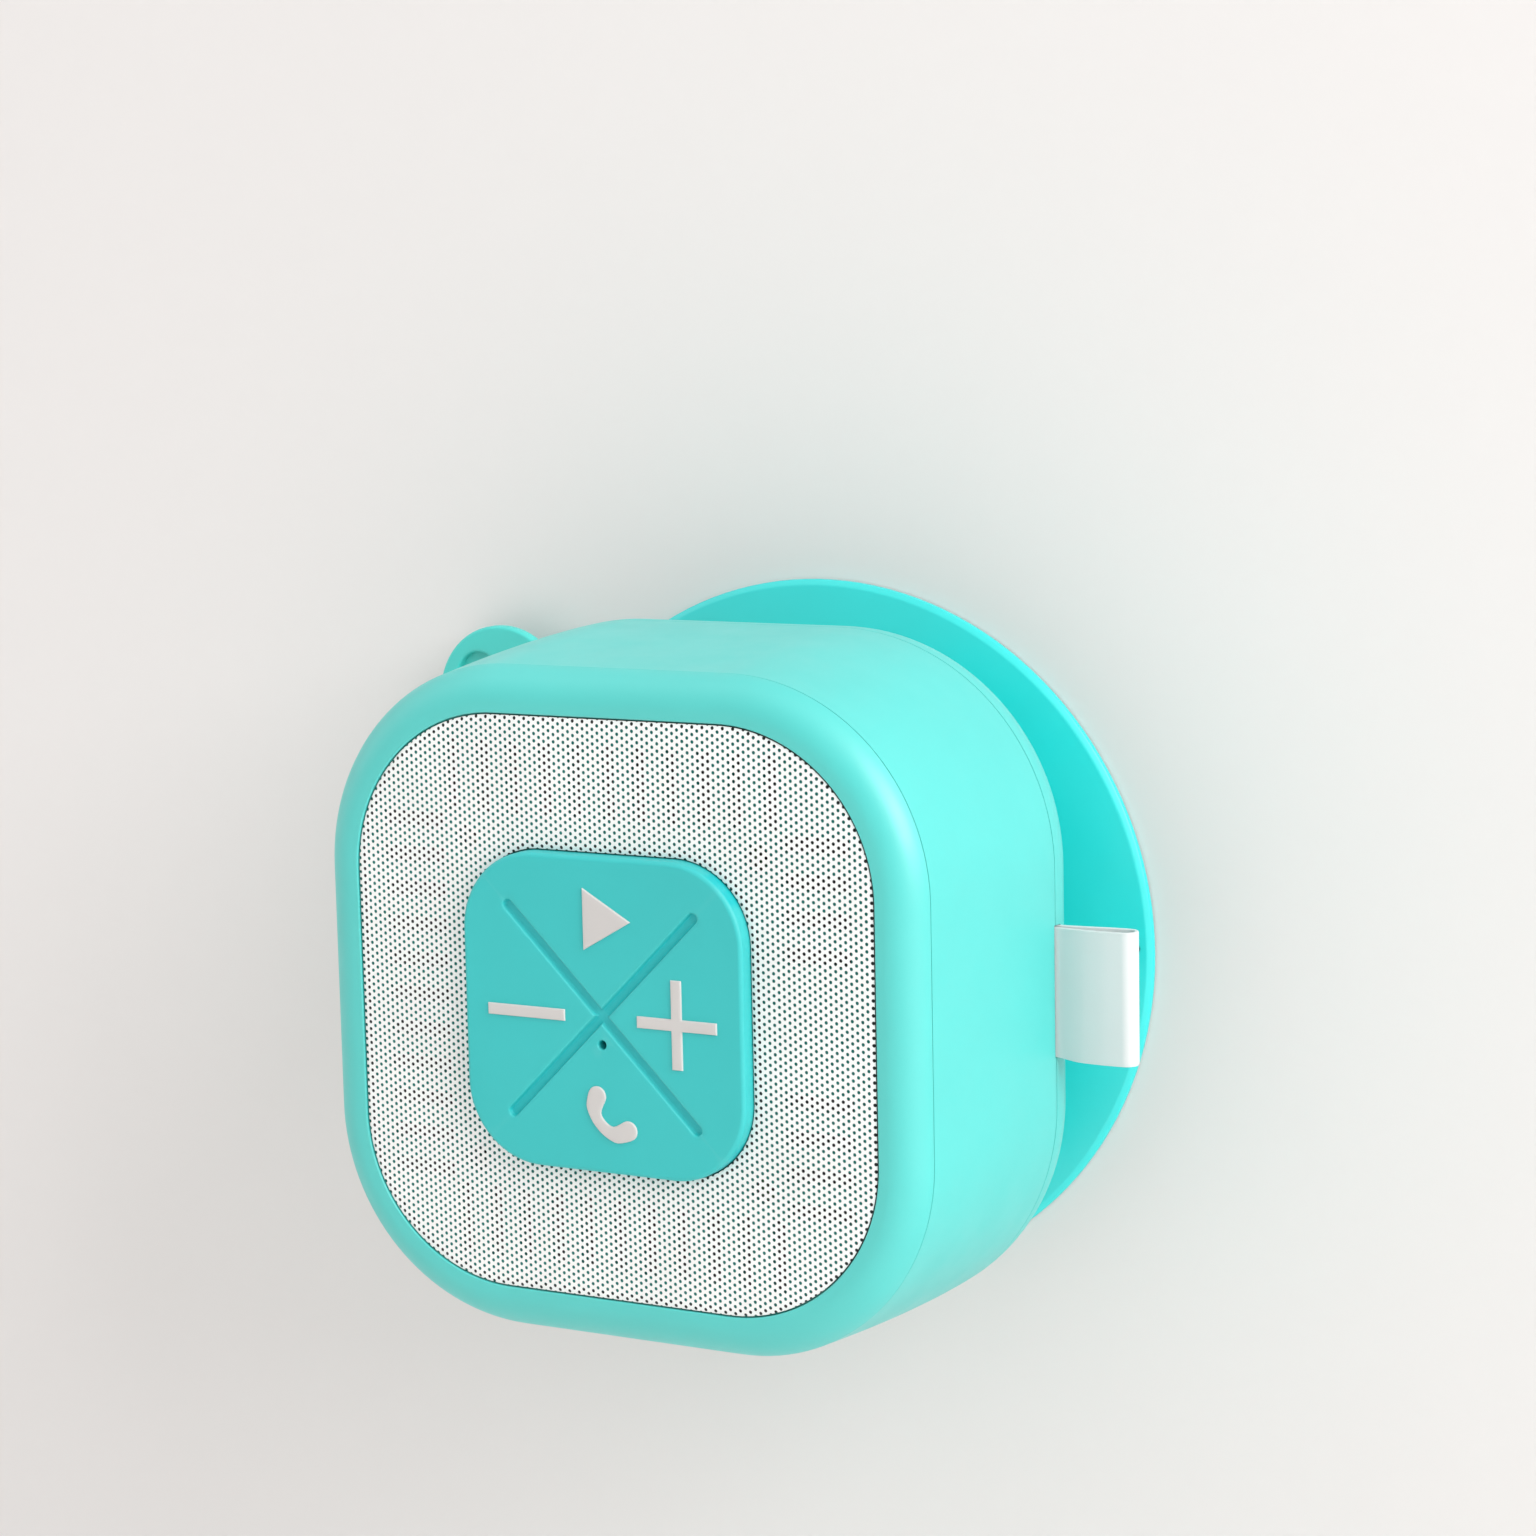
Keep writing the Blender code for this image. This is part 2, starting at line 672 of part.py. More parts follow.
def screw_holes(radius):
    """Outlines of the four holes in line with the front screws."""
    return [circle(radius, 12, side_x * FRONT_SCREW, side_z * FRONT_SCREW)
            for side_x, side_z in CORNERS]


def make_front_stack():
    """Grille, slotted baffle and the black cloth behind the slots."""
    opening = rounded_square(PAD_HALF + 0.35 * MM, PAD_CORNER + 0.3 * MM)
    plate("grille", (rounded_square(GRILLE_HALF, GRILLE_CORNER), opening), 0, 0.5 * MM,
          "white_grille")

    rim = rounded_square(37 * MM, GRILLE_CORNER + 37 * MM - GRILLE_HALF)
    plate("front_baffle", [rim, opening] + slot_outlines() + screw_holes(ACCESS_RADIUS),
          0.85 * MM, 2.35 * MM, "teal_body")

    cloth_rim = rounded_square(35.9 * MM, GRILLE_CORNER + 0.8 * MM)
    cloth_opening = rounded_square(22.2 * MM, 12.9 * MM)
    plate("acoustic_mesh", [cloth_rim, cloth_opening] + screw_holes(ACCESS_RADIUS),
          2.65 * MM, 2.85 * MM, "black_cloth")


# --- Button pad ------------------------------------------------------------------------

def make_keypad():
    """The rubber pad: a rim and a crossed web, four keys and their raised symbols."""
    flange_half, flange_corner = 21.2 * MM, 12.2 * MM
    flange_front, flange_back = 2.65 * MM, 3.25 * MM
    sections = []
    for step in range(PAD_EDGE_STEPS + 1):
        angle = math.radians(90 * step / PAD_EDGE_STEPS)
        inset = PAD_EDGE * (1 - math.sin(angle))
        depth = PAD_TOP + PAD_EDGE * (1 - math.cos(angle))
        sections.append((depth, PAD_HALF - inset, PAD_CORNER - inset))
    sections += [(flange_front, PAD_HALF, PAD_CORNER),
                 (flange_front, flange_half, flange_corner),
                 (flange_back, flange_half, flange_corner)]
    membrane = loft("keypad_membrane", sections, "teal_pad")
    tips = (0, 0, MIC_LAND_RADIUS, 0)
    for quarter, tip in enumerate(tips):
        window = turned_outline(wedge(0, tip), quarter)
        cut(membrane, plate(f"key_window_{quarter}", [window], -3 * MM, 4 * MM, None))
    for index, turn in enumerate((45, 135)):
        reach = GROOVE_REACH * math.sqrt(2)
        groove = arc(reach, 0, GROOVE_WIDTH / 2, -90, 90, 6)
        groove += [(-x, -up) for x, up in groove]
        slot = plate(f"groove_{index}", [groove], -3 * MM, GROOVE_FLOOR, None)
        slot.rotation_euler = (math.radians(90), -math.radians(turn), 0)
        cut(membrane, slot)
    cut(membrane, rod("mic_duct", 0, -MIC_DROP, MIC_RADIUS, -3 * MM, 4 * MM, None, 12))

    make_key("play", 0, 0, triangle_outline)
    make_key("volume_down", 1, 0, minus_outline)
    make_key("call", 2, MIC_LAND_RADIUS, handset_outline)
    make_key("volume_up", 3, 0, plus_outline)


def make_key(label, quarter, tip, symbol):
    """One quadrant key, its inlaid symbol and the switch below it."""
    key = plate(f"key_{label}", [turned_outline(wedge(GAP, tip), quarter)], PAD_TOP,
                KEY_BACK, "teal_pad")
    floor = SYMBOL_TOP + SYMBOL_DEPTH + SYMBOL_CLEARANCE
    bed = symbol(SYMBOL_CLEARANCE)
    tool = plate(f"symbol_bed_{label}", [bed], -3 * MM, floor, None)
    cut(key, tool, solver="MANIFOLD")
    mark = plate(f"symbol_{label}", [symbol(0)], SYMBOL_TOP, SYMBOL_TOP + SYMBOL_DEPTH,
                 "pale_symbol")
    across, up = turned_outline([(0, KEY_MIDDLE)], quarter)[0]
    slide = pivot(f"slide_{label}", (across, -WALL_DEPTH, up))
    ride_on(slide, key, mark)

    body = box(f"switch_{label}", across - 2.3 * MM, across + 2.3 * MM, 3.4 * MM, 5 * MM,
               up - 2.3 * MM, up + 2.3 * MM, "black_plastic")
    cut(body, rod(f"switch_bore_{label}", across, up, 1.3 * MM, 3 * MM, 6 * MM, None))
    plunger = rod(f"plunger_{label}", across, up, 1.0 * MM, KEY_BACK + GAP, 4.4 * MM,
                  "pale_symbol", 12)
    ride_on(pivot(f"plunger_slide_{label}", (across, -WALL_DEPTH, up)), plunger)


def make_button_board():
    """The small board under the pad, held by the four front screws, and its microphone."""
    plate("button_board", [rounded_square(22.0 * MM, 3 * MM, 4)] + screw_holes(SCREW_BORE),
          BUTTON_BOARD_FRONT, BUTTON_BOARD_BACK, "green_board")
    box("microphone", -1.9 * MM, 1.9 * MM, 3.6 * MM, 5 * MM, -MIC_DROP - 1.5 * MM,
        -MIC_DROP + 1.5 * MM, "bright_steel")


# --- Driver ----------------------------------------------------------------------------

def make_driver():
    """A 45 mm moving-coil driver."""
    rings = {
        "driver_frame": ("black_plastic", [
            (DRIVER_RADIUS, FLANGE_FRONT), (DRIVER_RADIUS, 12.4 * MM), (20.4 * MM, 12.4 * MM),
            (20.0 * MM, 14.0 * MM), (14.2 * MM, 19.5 * MM), (14.2 * MM, 20.6 * MM),
            (10.4 * MM, 20.6 * MM), (10.4 * MM, 19.5 * MM), (13.4 * MM, 19.0 * MM),
            (18.6 * MM, 13.5 * MM), (18.6 * MM, FLANGE_FRONT)]),
        "driver_gasket": ("black_rubber", [
            (22.4 * MM, 12.7 * MM), (22.4 * MM, 13.0 * MM), (21.2 * MM, 13.0 * MM),
            (21.2 * MM, 12.7 * MM)]),
        "driver_top_plate": ("bright_steel", [
            (13.8 * MM, 20.9 * MM), (13.8 * MM, 22.9 * MM), (6.7 * MM, 22.9 * MM),
            (6.7 * MM, 20.9 * MM)]),
        "driver_magnet": ("ferrite", [
            (14.0 * MM, 23.2 * MM), (14.0 * MM, 26.7 * MM), (8.0 * MM, 26.7 * MM),
            (8.0 * MM, 23.2 * MM)]),
        "voice_coil": ("copper", [
            (6.35 * MM, 17.6 * MM), (6.35 * MM, 23.4 * MM), (5.85 * MM, 23.4 * MM),
            (5.85 * MM, 17.6 * MM)]),
        "speaker_cone": ("paper_cone", [
            (17.0 * MM, 12.1 * MM), (17.0 * MM, 12.6 * MM), (7.2 * MM, 17.4 * MM),
            (6.0 * MM, 17.3 * MM), (6.7 * MM, 16.8 * MM), (16.2 * MM, 12.1 * MM)]),
        "cone_surround": ("black_rubber", [
            (22.2 * MM, 10.2 * MM), (22.2 * MM, 10.7 * MM), (20.0 * MM, 10.7 * MM),
            (19.2 * MM, 9.6 * MM), (18.4 * MM, 9.9 * MM), (17.6 * MM, 11.8 * MM),
            (17.3 * MM, 11.8 * MM), (17.6 * MM, 10.4 * MM), (18.2 * MM, 9.4 * MM),
            (19.2 * MM, 9.0 * MM), (20.2 * MM, 9.4 * MM), (20.6 * MM, 10.2 * MM)]),
        "spider": ("spider_cloth", [
            (12.9 * MM, 18.4 * MM), (12.9 * MM, 18.7 * MM), (11.4 * MM, 18.3 * MM),
            (9.9 * MM, 19.1 * MM), (8.4 * MM, 18.3 * MM), (6.7 * MM, 18.7 * MM),
            (6.7 * MM, 18.4 * MM), (8.4 * MM, 18.0 * MM), (9.9 * MM, 18.8 * MM),
            (11.4 * MM, 18.0 * MM)]),
    }
    for name, (finish, profile) in rings.items():
        turned(name, profile, finish, DRIVER_STEPS, looped=True)
    turned("driver_yoke", [(0, 20.9 * MM), (5.5 * MM, 20.9 * MM), (5.5 * MM, 27.0 * MM),
                           (13.8 * MM, 27.0 * MM), (13.8 * MM, 29.0 * MM), (0, 29.0 * MM)],
           "bright_steel", DRIVER_STEPS)
    cap_radius = 6.2 * MM
    cap_rise = 1.3 * MM
    dome = [(cap_radius * share, 14.6 * MM + cap_rise * share ** 2)
            for share in (0, 0.35, 0.7, 1)]
    shell = [(radius, depth + 0.5 * MM) for radius, depth in reversed(dome)]
    turned("dust_cap", dome + shell, "paper_cone", DRIVER_STEPS)
    cone_slide = pivot("cone_slide", (0, -WALL_DEPTH, 0))
    ride_on(cone_slide, *[PARTS.objects[name] for name in
                          ("voice_coil", "speaker_cone", "dust_cap")])


# --- Electronics -----------------------------------------------------------------------

def world(x, depth, height):
    """A world point from x, depth and height in millimetres."""
    return x * MM, depth * MM - WALL_DEPTH, height * MM


def make_electronics():
    """Main board with its port, switch and radio, the battery and the leads."""
    plate("main_board", [rectangle(-20 * MM, -37 * MM, 20 * MM, -15.6 * MM)],
          MAIN_BOARD_FRONT, MAIN_BOARD_BACK, "green_board")
    box("bluetooth_module", -4 * MM, 8 * MM, 28.6 * MM, 30.7 * MM, -26.5 * MM, -17.5 * MM,
        "bright_steel")

    port_front, port_back = PORT_DEPTH - 1.3 * MM, PORT_DEPTH + 1.3 * MM
    shell = box("usb_connector", PORT_X - 3.75 * MM, PORT_X + 3.75 * MM, port_front,
                port_back, -40.6 * MM, -35.2 * MM, "bright_steel")
    cut(shell, box("usb_mouth", PORT_X - 3.35 * MM, PORT_X + 3.35 * MM, port_front + 0.4 * MM,
                   port_back - 0.4 * MM, -42 * MM, -36 * MM, None))

    body = box("power_switch_body", SWITCH_X - 4.2 * MM, SWITCH_X + 4.2 * MM,
               PORT_DEPTH - 1.6 * MM, PORT_DEPTH + 1.3 * MM, -38.5 * MM, -34.9 * MM,
               "black_plastic")
    cut(body, box("switch_track", SWITCH_X - 2.4 * MM, SWITCH_X + 2.4 * MM,
                  PORT_DEPTH - 1.0 * MM, PORT_DEPTH + 1.0 * MM, -39 * MM, -36 * MM, None))
    slider = box("power_switch_slider", SWITCH_X - 2.0 * MM, SWITCH_X, PORT_DEPTH - 0.7 * MM,
                 PORT_DEPTH + 0.7 * MM, -40.8 * MM, -36.4 * MM, "pale_symbol")
    ride_on(pivot("switch_slide", (SWITCH_X - MM, PORT_DEPTH - WALL_DEPTH, -38.6 * MM)), slider)

    shape = bmesh.new()
    bmesh.ops.create_cone(shape, cap_ends=True, segments=24, radius1=BATTERY_RADIUS,
                          radius2=BATTERY_RADIUS, depth=BATTERY_LENGTH)
    cell = add_object("battery_cell", mesh_from_bmesh("battery_cell", shape), "battery_sleeve")
    cell.rotation_euler = (0, math.radians(90), 0)
    cell.location = (0, BATTERY_DEPTH - WALL_DEPTH, BATTERY_HEIGHT)

    ribbon = ribbon_outline([(7.1, -19.0), (8.2, -21.0), (8.6, -32.0), (10.2, -33.8),
                             (26.0, -33.8), (29.6, -31.5), (30.4, -28.0)])
    strip = plate("ribbon_cable", [ribbon], 0, 8 * MM, "ribbon_film")
    strip.rotation_euler = (math.radians(90), 0, math.radians(90))
    strip.location = (0, -WALL_DEPTH, 0)

    tube("speaker_lead", [world(*point) for point in
                          ((14.8, 20.2, -2.0), (15.6, 21.4, -5.0), (16.0, 24.5, -10.0),
                           (15.4, 28.0, -14.5), (14.2, 30.0, -18.5))], 0.6 * MM, "red_wire")
    tube("battery_lead", [world(*point) for point in
                          ((25.9, 24.5, 28.0), (27.2, 25.0, 24.0), (27.0, 26.5, 14.0),
                           (26.0, 28.0, 0.0), (23.0, 29.2, -12.0), (18.2, 29.9, -18.5))],
         0.6 * MM, "black_rubber")


def ribbon_outline(path, thickness=0.4):
    """A flat strip's edge view: the path and its copy offset by the strip's thickness."""
    far = []
    for index, (depth, height) in enumerate(path):
        before = path[max(index - 1, 0)]
        after = path[min(index + 1, len(path) - 1)]
        along = (after[0] - before[0], after[1] - before[1])
        length = math.hypot(*along)
        far.append((depth - along[1] / length * thickness, height + along[0] / length * thickness))
    return [(depth * MM, height * MM) for depth, height in path + far[::-1]]


# --- Fasteners -------------------------------------------------------------------------

def make_screws():
    """Four front screws under the grille and four rear screws in the back."""
    front_profile = [(0, 4.4 * MM), (0.6 * MM, 3.8 * MM), (1.35 * MM, 3.8 * MM),
                     (1.35 * MM, 4.9 * MM), (SCREW_SHANK, 5.0 * MM),
                     (SCREW_SHANK, 11.2 * MM), (0, 11.8 * MM)]
    rear_profile = [(0, 30.2 * MM), (SCREW_SHANK, 31.0 * MM), (SCREW_SHANK, 40.9 * MM),
                    (2.2 * MM, 40.9 * MM), (2.2 * MM, 41.8 * MM), (0.7 * MM, 41.8 * MM),
                    (0, 41.1 * MM)]
    first_front = turned("front_screw_1", front_profile, "black_screw", SCREW_STEPS)
    first_rear = turned("rear_screw_1", rear_profile, "bright_steel", SCREW_STEPS)
    copies = ((first_front, "front_screw", FRONT_SCREW, FRONT_SCREW),
              (first_rear, "rear_screw", REAR_SCREW_X, REAR_SCREW_Z))
    for first, label, across, up in copies:
        for index, (side_x, side_z) in enumerate(CORNERS):
            screw = first
            if index:
                screw = first.copy()
                screw.name = f"{label}_{index + 1}"
                PARTS.objects.link(screw)
            screw.location.x = side_x * across
            screw.location.z = side_z * up


# --- Wall side -------------------------------------------------------------------------

def make_suction_cup():
    """The cup with its moulded socket, its stud and the ring that keeps the stud."""
    hollow = 55.9 * MM
    profile = [(0, 49.4 * MM), (9.4 * MM, 49.4 * MM), (9.4 * MM, 46.9 * MM),
               (5.4 * MM, 46.9 * MM), (5.4 * MM, 44.2 * MM), (11.6 * MM, 44.2 * MM),
               (12.4 * MM, 44.8 * MM), (13.2 * MM, 48.0 * MM), (17.0 * MM, 50.1 * MM),
               (45.6 * MM, 55.6 * MM), (CUP_RADIUS, 56.2 * MM), (CUP_RADIUS, WALL_DEPTH),
               (43.0 * MM, WALL_DEPTH), (40.0 * MM, hollow), (9.0 * MM, hollow),
               (7.0 * MM, WALL_DEPTH), (0, WALL_DEPTH)]
    cup = turned("suction_cup", profile, "teal_rubber")
    root = box("tab_root", 39 * MM, TAB_HINGE - 1.2 * MM, TAB_FRONT, 55 * MM, -8.6 * MM,
               8.6 * MM, None)
    root.rotation_euler = (math.radians(90), -TAB_ANGLE, 0)
    join(cup, root)

    turned("cup_stud", [(0, 36.0 * MM), (8.5 * MM, 36.0 * MM), (8.5 * MM, 38.0 * MM),
                        (STUD_RADIUS, 38.0 * MM), (STUD_RADIUS, 47.2 * MM),
                        (9.0 * MM, 47.2 * MM), (9.0 * MM, 49.0 * MM), (0, 49.0 * MM)],
           "black_plastic", DRIVER_STEPS)
    turned("collar_ring", [(10.6 * MM, 38.4 * MM), (10.6 * MM, 41.5 * MM),
                           (5.5 * MM, 41.5 * MM), (5.5 * MM, 38.4 * MM)],
           "black_plastic", DRIVER_STEPS, looped=True)


def make_pull_tab():
    """The release tab: a round-ended tongue with a finger recess, hinged at the cup's rim."""
    outline = arc(TAB_CENTRE, 0, TAB_HALF_WIDTH, -90, 90, 14)
    outline += [(TAB_HINGE - 0.5 * MM, TAB_HALF_WIDTH - 1 * MM),
                (TAB_HINGE - 0.5 * MM, 1 * MM - TAB_HALF_WIDTH)]
    tab = plate("pull_tab", [outline], TAB_FRONT, TAB_BACK, "teal_rubber")
    tab.rotation_euler = (math.radians(90), -TAB_ANGLE, 0)
    recess = plate("tab_recess", [circle(TAB_RECESS_RADIUS, 16, *TAB_RECESS)],
                   TAB_FRONT - TAB_WEB, TAB_BACK - TAB_WEB, None)
    recess.rotation_euler = tab.rotation_euler
    cut(tab, recess)
    across, up = TAB_HINGE * math.cos(TAB_ANGLE), TAB_HINGE * math.sin(TAB_ANGLE)
    ride_on(pivot("tab_root_hinge", (across, (TAB_FRONT + TAB_BACK) / 2 - WALL_DEPTH, up)), tab)


CORNERS = ((1, 1), (-1, 1), (-1, -1), (1, -1))

clear_scene()
PARTS = new_collection(NAME)
CUTTERS = new_collection(NAME + "_cutters")

make_front_bezel()
make_mid_housing()
make_rear_cover()
make_gaskets()
make_port_flap()
make_loop_tag()
make_front_stack()
make_keypad()
make_button_board()
make_driver()
make_electronics()
make_screws()
make_suction_cup()
make_pull_tab()
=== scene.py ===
"""Visual model of a shower speaker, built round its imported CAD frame.

Shapes are built in millimetres, facing the viewer: X to the right, Y up and Z out of the
front, with Z = 0 at the front of the grille.  FACE turns that into the row frame, where
the wall is y = 0 and the front faces -Y.
"""

import json
import math

import bmesh
import bpy
from mathutils import Matrix, Vector
from mathutils.geometry import delaunay_2d_cdt


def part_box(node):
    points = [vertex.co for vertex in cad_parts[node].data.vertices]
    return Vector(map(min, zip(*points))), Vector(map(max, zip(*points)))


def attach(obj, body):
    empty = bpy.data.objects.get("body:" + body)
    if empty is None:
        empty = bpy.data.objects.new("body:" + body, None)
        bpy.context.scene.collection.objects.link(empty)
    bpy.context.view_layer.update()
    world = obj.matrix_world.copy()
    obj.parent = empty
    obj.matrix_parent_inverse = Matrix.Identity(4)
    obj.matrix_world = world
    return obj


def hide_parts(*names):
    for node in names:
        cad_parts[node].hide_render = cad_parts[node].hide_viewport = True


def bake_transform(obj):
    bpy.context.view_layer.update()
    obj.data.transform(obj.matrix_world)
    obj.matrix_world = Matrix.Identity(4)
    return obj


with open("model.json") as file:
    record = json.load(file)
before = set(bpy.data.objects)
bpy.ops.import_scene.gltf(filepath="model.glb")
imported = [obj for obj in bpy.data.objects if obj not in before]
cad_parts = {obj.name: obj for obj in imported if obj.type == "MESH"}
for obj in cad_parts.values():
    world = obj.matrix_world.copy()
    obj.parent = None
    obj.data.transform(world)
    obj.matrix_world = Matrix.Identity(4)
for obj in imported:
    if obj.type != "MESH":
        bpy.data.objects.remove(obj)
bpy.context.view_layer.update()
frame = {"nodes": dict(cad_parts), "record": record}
NODES = frame["nodes"]

MM = 0.001


def reach(node, axis, end=1):
    """One face of a CAD node's box in millimetres; end 0 is the low face, 1 the high one."""
    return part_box(node)[end][axis] / MM


FRONT_Y = reach("grille", 1, 0)
FACE = Matrix(((1, 0, 0, 0), (0, 0, -1, FRONT_Y), (0, 1, 0, 0), (0, 0, 0, 1)))
ROOT_TWO = math.sqrt(2)

# Depths behind the front of the grille, read from the CAD nodes
WALL = -FRONT_Y
FRONT_SEAM = (reach("front_bezel", 1, 1) + reach("mid_housing", 1, 0)) / 2 - FRONT_Y
REAR_SEAM = reach("rear_cover", 1, 0) - FRONT_Y
BACK = reach("rear_cover", 1, 1) - FRONT_Y
TAG_DEPTH = (reach("loop_tag", 1, 0) + reach("loop_tag", 1, 1)) / 2 - FRONT_Y
TAB_DEPTH = (reach("pull_tab", 1, 0) + reach("pull_tab", 1, 1)) / 2 - FRONT_Y

# Half widths and corner radii
GRILLE_HALF = reach("grille", 0)
GRILLE_CORNER = 19.95
BEZEL_HALF = reach("front_bezel", 0)
CORNERS = ((1, 1), (-1, 1), (-1, -1), (1, -1))


# --- Outlines --------------------------------------------------------------------------

def arc(centre_x, centre_y, radius, start, end, steps):
    """Points on an arc, angles in degrees."""
    points = []
    for step in range(steps + 1):
        angle = math.radians(start + (end - start) * step / steps)
        points.append((centre_x + radius * math.cos(angle), centre_y + radius * math.sin(angle)))
    return points


def circle(radius, steps=48, centre_x=0.0, centre_y=0.0, start=0.0):
    """A full circle without a doubled point."""
    return arc(centre_x, centre_y, radius, start, start + 360, steps)[:-1]


def rounded_box(half_x, half_up, corner, steps, x=0.0, up=0.0):
    """A rectangle with rounded corners round a middle point."""
    points = []
    for quarter, (side_x, side_up) in enumerate(CORNERS):
        start = 90 * quarter
        points += arc(x + side_x * (half_x - corner), up + side_up * (half_up - corner), corner,
                      start, start + 90, steps)
    return points


def rounded_square(half, corner, steps=24):
    """A rounded square; a corner radius equal to the half width gives a circle."""
    return rounded_box(half, half, corner, steps)


def turned_outline(points, quarter_turns):
    """An outline turned about the middle by quarter turns."""
    for _ in range(quarter_turns):
        points = [(-up, x) for x, up in points]
    return points


def cross_outline(half_long, half_thin):
    """A cross with four equal arms."""
    arm = [(half_thin, half_thin), (half_thin, half_long), (-half_thin, half_long)]
    points = []
    for quarter in range(4):
        points += turned_outline(arm, quarter)
    return points


def run_of(start, end, count):
    """Evenly spaced points from start up to end, without end itself."""
    (ax, ay), (bx, by) = start, end
    return [(ax + (bx - ax) * step / count, ay + (by - ay) * step / count)
            for step in range(count)]


def averaged(before, here, after):
    """Points moved towards their neighbours: a quarter, a half and a quarter."""
    return [((one[0] + two[0] * 2 + three[0]) / 4, (one[1] + two[1] * 2 + three[1]) / 4)
            for one, two, three in zip(before, here, after)]


def box_distance(x, up, half_x, half_up, corner):
    """Distance outside a rounded rectangle, negative inside."""
    across = abs(x) - half_x + corner
    above = abs(up) - half_up + corner
    outside = math.hypot(max(across, 0), max(above, 0))
    return outside + min(max(across, above), 0) - corner


def square_distance(x, up, half, corner):
    """Distance outside a rounded square, negative inside."""
    return box_distance(x, up, half, half, corner)


def outline_distance(x, up, outline):
    """Distance from a point to the nearest edge of an outline."""
    best = 1e9
    for (ax, ay), (bx, by) in zip(outline, outline[1:] + outline[:1]):
        dx, dy = bx - ax, by - ay
        length = dx * dx + dy * dy
        share = ((x - ax) * dx + (up - ay) * dy) / length if length else 0
        share = min(max(share, 0), 1)
        best = min(best, math.hypot(x - ax - dx * share, up - ay - dy * share))
    return best


def round_drop(inset, radius):
    """How far a face rounded over at its edge lies below its top, at a distance inside."""
    if inset >= radius:
        return 0.0
    if inset <= 0:
        return radius - 20 * inset
    return radius - math.sqrt(radius ** 2 - (radius - inset) ** 2)


def smooth(value):
    """Smooth step from 0 to 1."""
    value = min(max(value, 0), 1)
    return value * value * (3 - 2 * value)


def interpolate(value, table):
    """Linear interpolation in a table of (position, result) pairs."""
    for (low, first), (high, second) in zip(table, table[1:]):
        if value <= high:
            return first + (second - first) * max(value - low, 0) / (high - low)
    return table[-1][1]


def filleted(points, radii, steps=5):
    """A polyline with its corners rounded; radii has one entry per point."""
    rounded = []
    for index, point in enumerate(points):
        radius = radii[index]
        if not radius or index in (0, len(points) - 1):
            rounded.append(point)
            continue
        here = Vector(point)
        before = Vector(points[index - 1]) - here
        after = Vector(points[index + 1]) - here
        half = before.angle(after) / 2
        reach_back = min(radius / math.tan(half), 0.49 * before.length, 0.49 * after.length)
        size = reach_back * math.tan(half)
        before.normalize()
        after.normalize()
        centre = here + (before + after).normalized() * (size / math.sin(half))
        first = here + before * reach_back - centre
        last = here + after * reach_back - centre
        for step in range(steps + 1):
            blend = first.lerp(last, step / steps).normalized() * size
            rounded.append(tuple(centre + blend))
    return rounded


# --- Meshes and pieces -----------------------------------------------------------------

def mesh_from_bmesh(name, shape):
    """Store a closed bmesh, moved to the row frame, with its faces pointing out."""
    bmesh.ops.remove_doubles(shape, verts=shape.verts, dist=0.0005)
    bmesh.ops.recalc_face_normals(shape, faces=shape.faces)
    mesh = bpy.data.meshes.new(name)
    shape.to_mesh(mesh)
    shape.free()
    mesh.transform(Matrix.Scale(MM, 4) @ FACE)
    return mesh


def new_piece(name, mesh, finish, sharp=35):
    """An object with a finish and smooth shading up to an angle."""
    item = bpy.data.objects.new(name, mesh)
    bpy.context.scene.collection.objects.link(item)
    mesh.materials.clear()
    mesh.materials.append(FINISH[finish])
    mesh.shade_smooth()
    mesh.set_sharp_from_angle(angle=math.radians(sharp))
    return item


def even_normals(item):
    """Weight the shading normals by face area, which keeps flats flat beside small radii."""
    modifier = item.modifiers.new("even_normals", "WEIGHTED_NORMAL")
    modifier.keep_sharp = True
    return item


def skin(shape, rings, looped=False):
    """Faces between rings of points, closed by two end caps or back to the first ring."""
    pairs = list(zip(rings, rings[1:]))
    if looped:
        pairs.append((rings[-1], rings[0]))
    else:
        shape.faces.new(rings[0])
        shape.faces.new(rings[-1])
    for one, other in pairs:
        for index in range(len(one)):
            after = (index + 1) % len(one)
            shape.faces.new((one[index], one[after], other[after], other[index]))


def loft_mesh(name, sections, looped=False, steps=24):
    """A closed body through rounded-square sections (depth, half width, corner radius)."""
    shape = bmesh.new()
    rings = [[shape.verts.new((x, up, -depth)) for x, up in rounded_square(half, corner, steps)]
             for depth, half, corner in sections]
    skin(shape, rings, looped)
    return mesh_from_bmesh(name, shape)


def turned_mesh(name, profile, steps):
    """A body turned about the front-to-back axis, from a closed run of (radius, depth)."""
    shape = bmesh.new()
    rings = []
    for radius, depth in profile:
        if radius < 1e-6:
            rings.append([shape.verts.new((0, 0, -depth))])
        else:
            rings.append([shape.verts.new((x, up, -depth)) for x, up in circle(radius, steps)])
    closed = len(rings[0]) > 1
    pairs = list(zip(rings, rings[1:])) + ([(rings[-1], rings[0])] if closed else [])
    for one, other in pairs:
        for index in range(steps):
            corners = []
            for ring, place in ((one, index), (one, index + 1), (other, index + 1), (other, index)):
                corner = ring[place % len(ring)]
                if corner not in corners:
                    corners.append(corner)
            if len(corners) > 2:
                shape.faces.new(corners)
    return mesh_from_bmesh(name, shape)


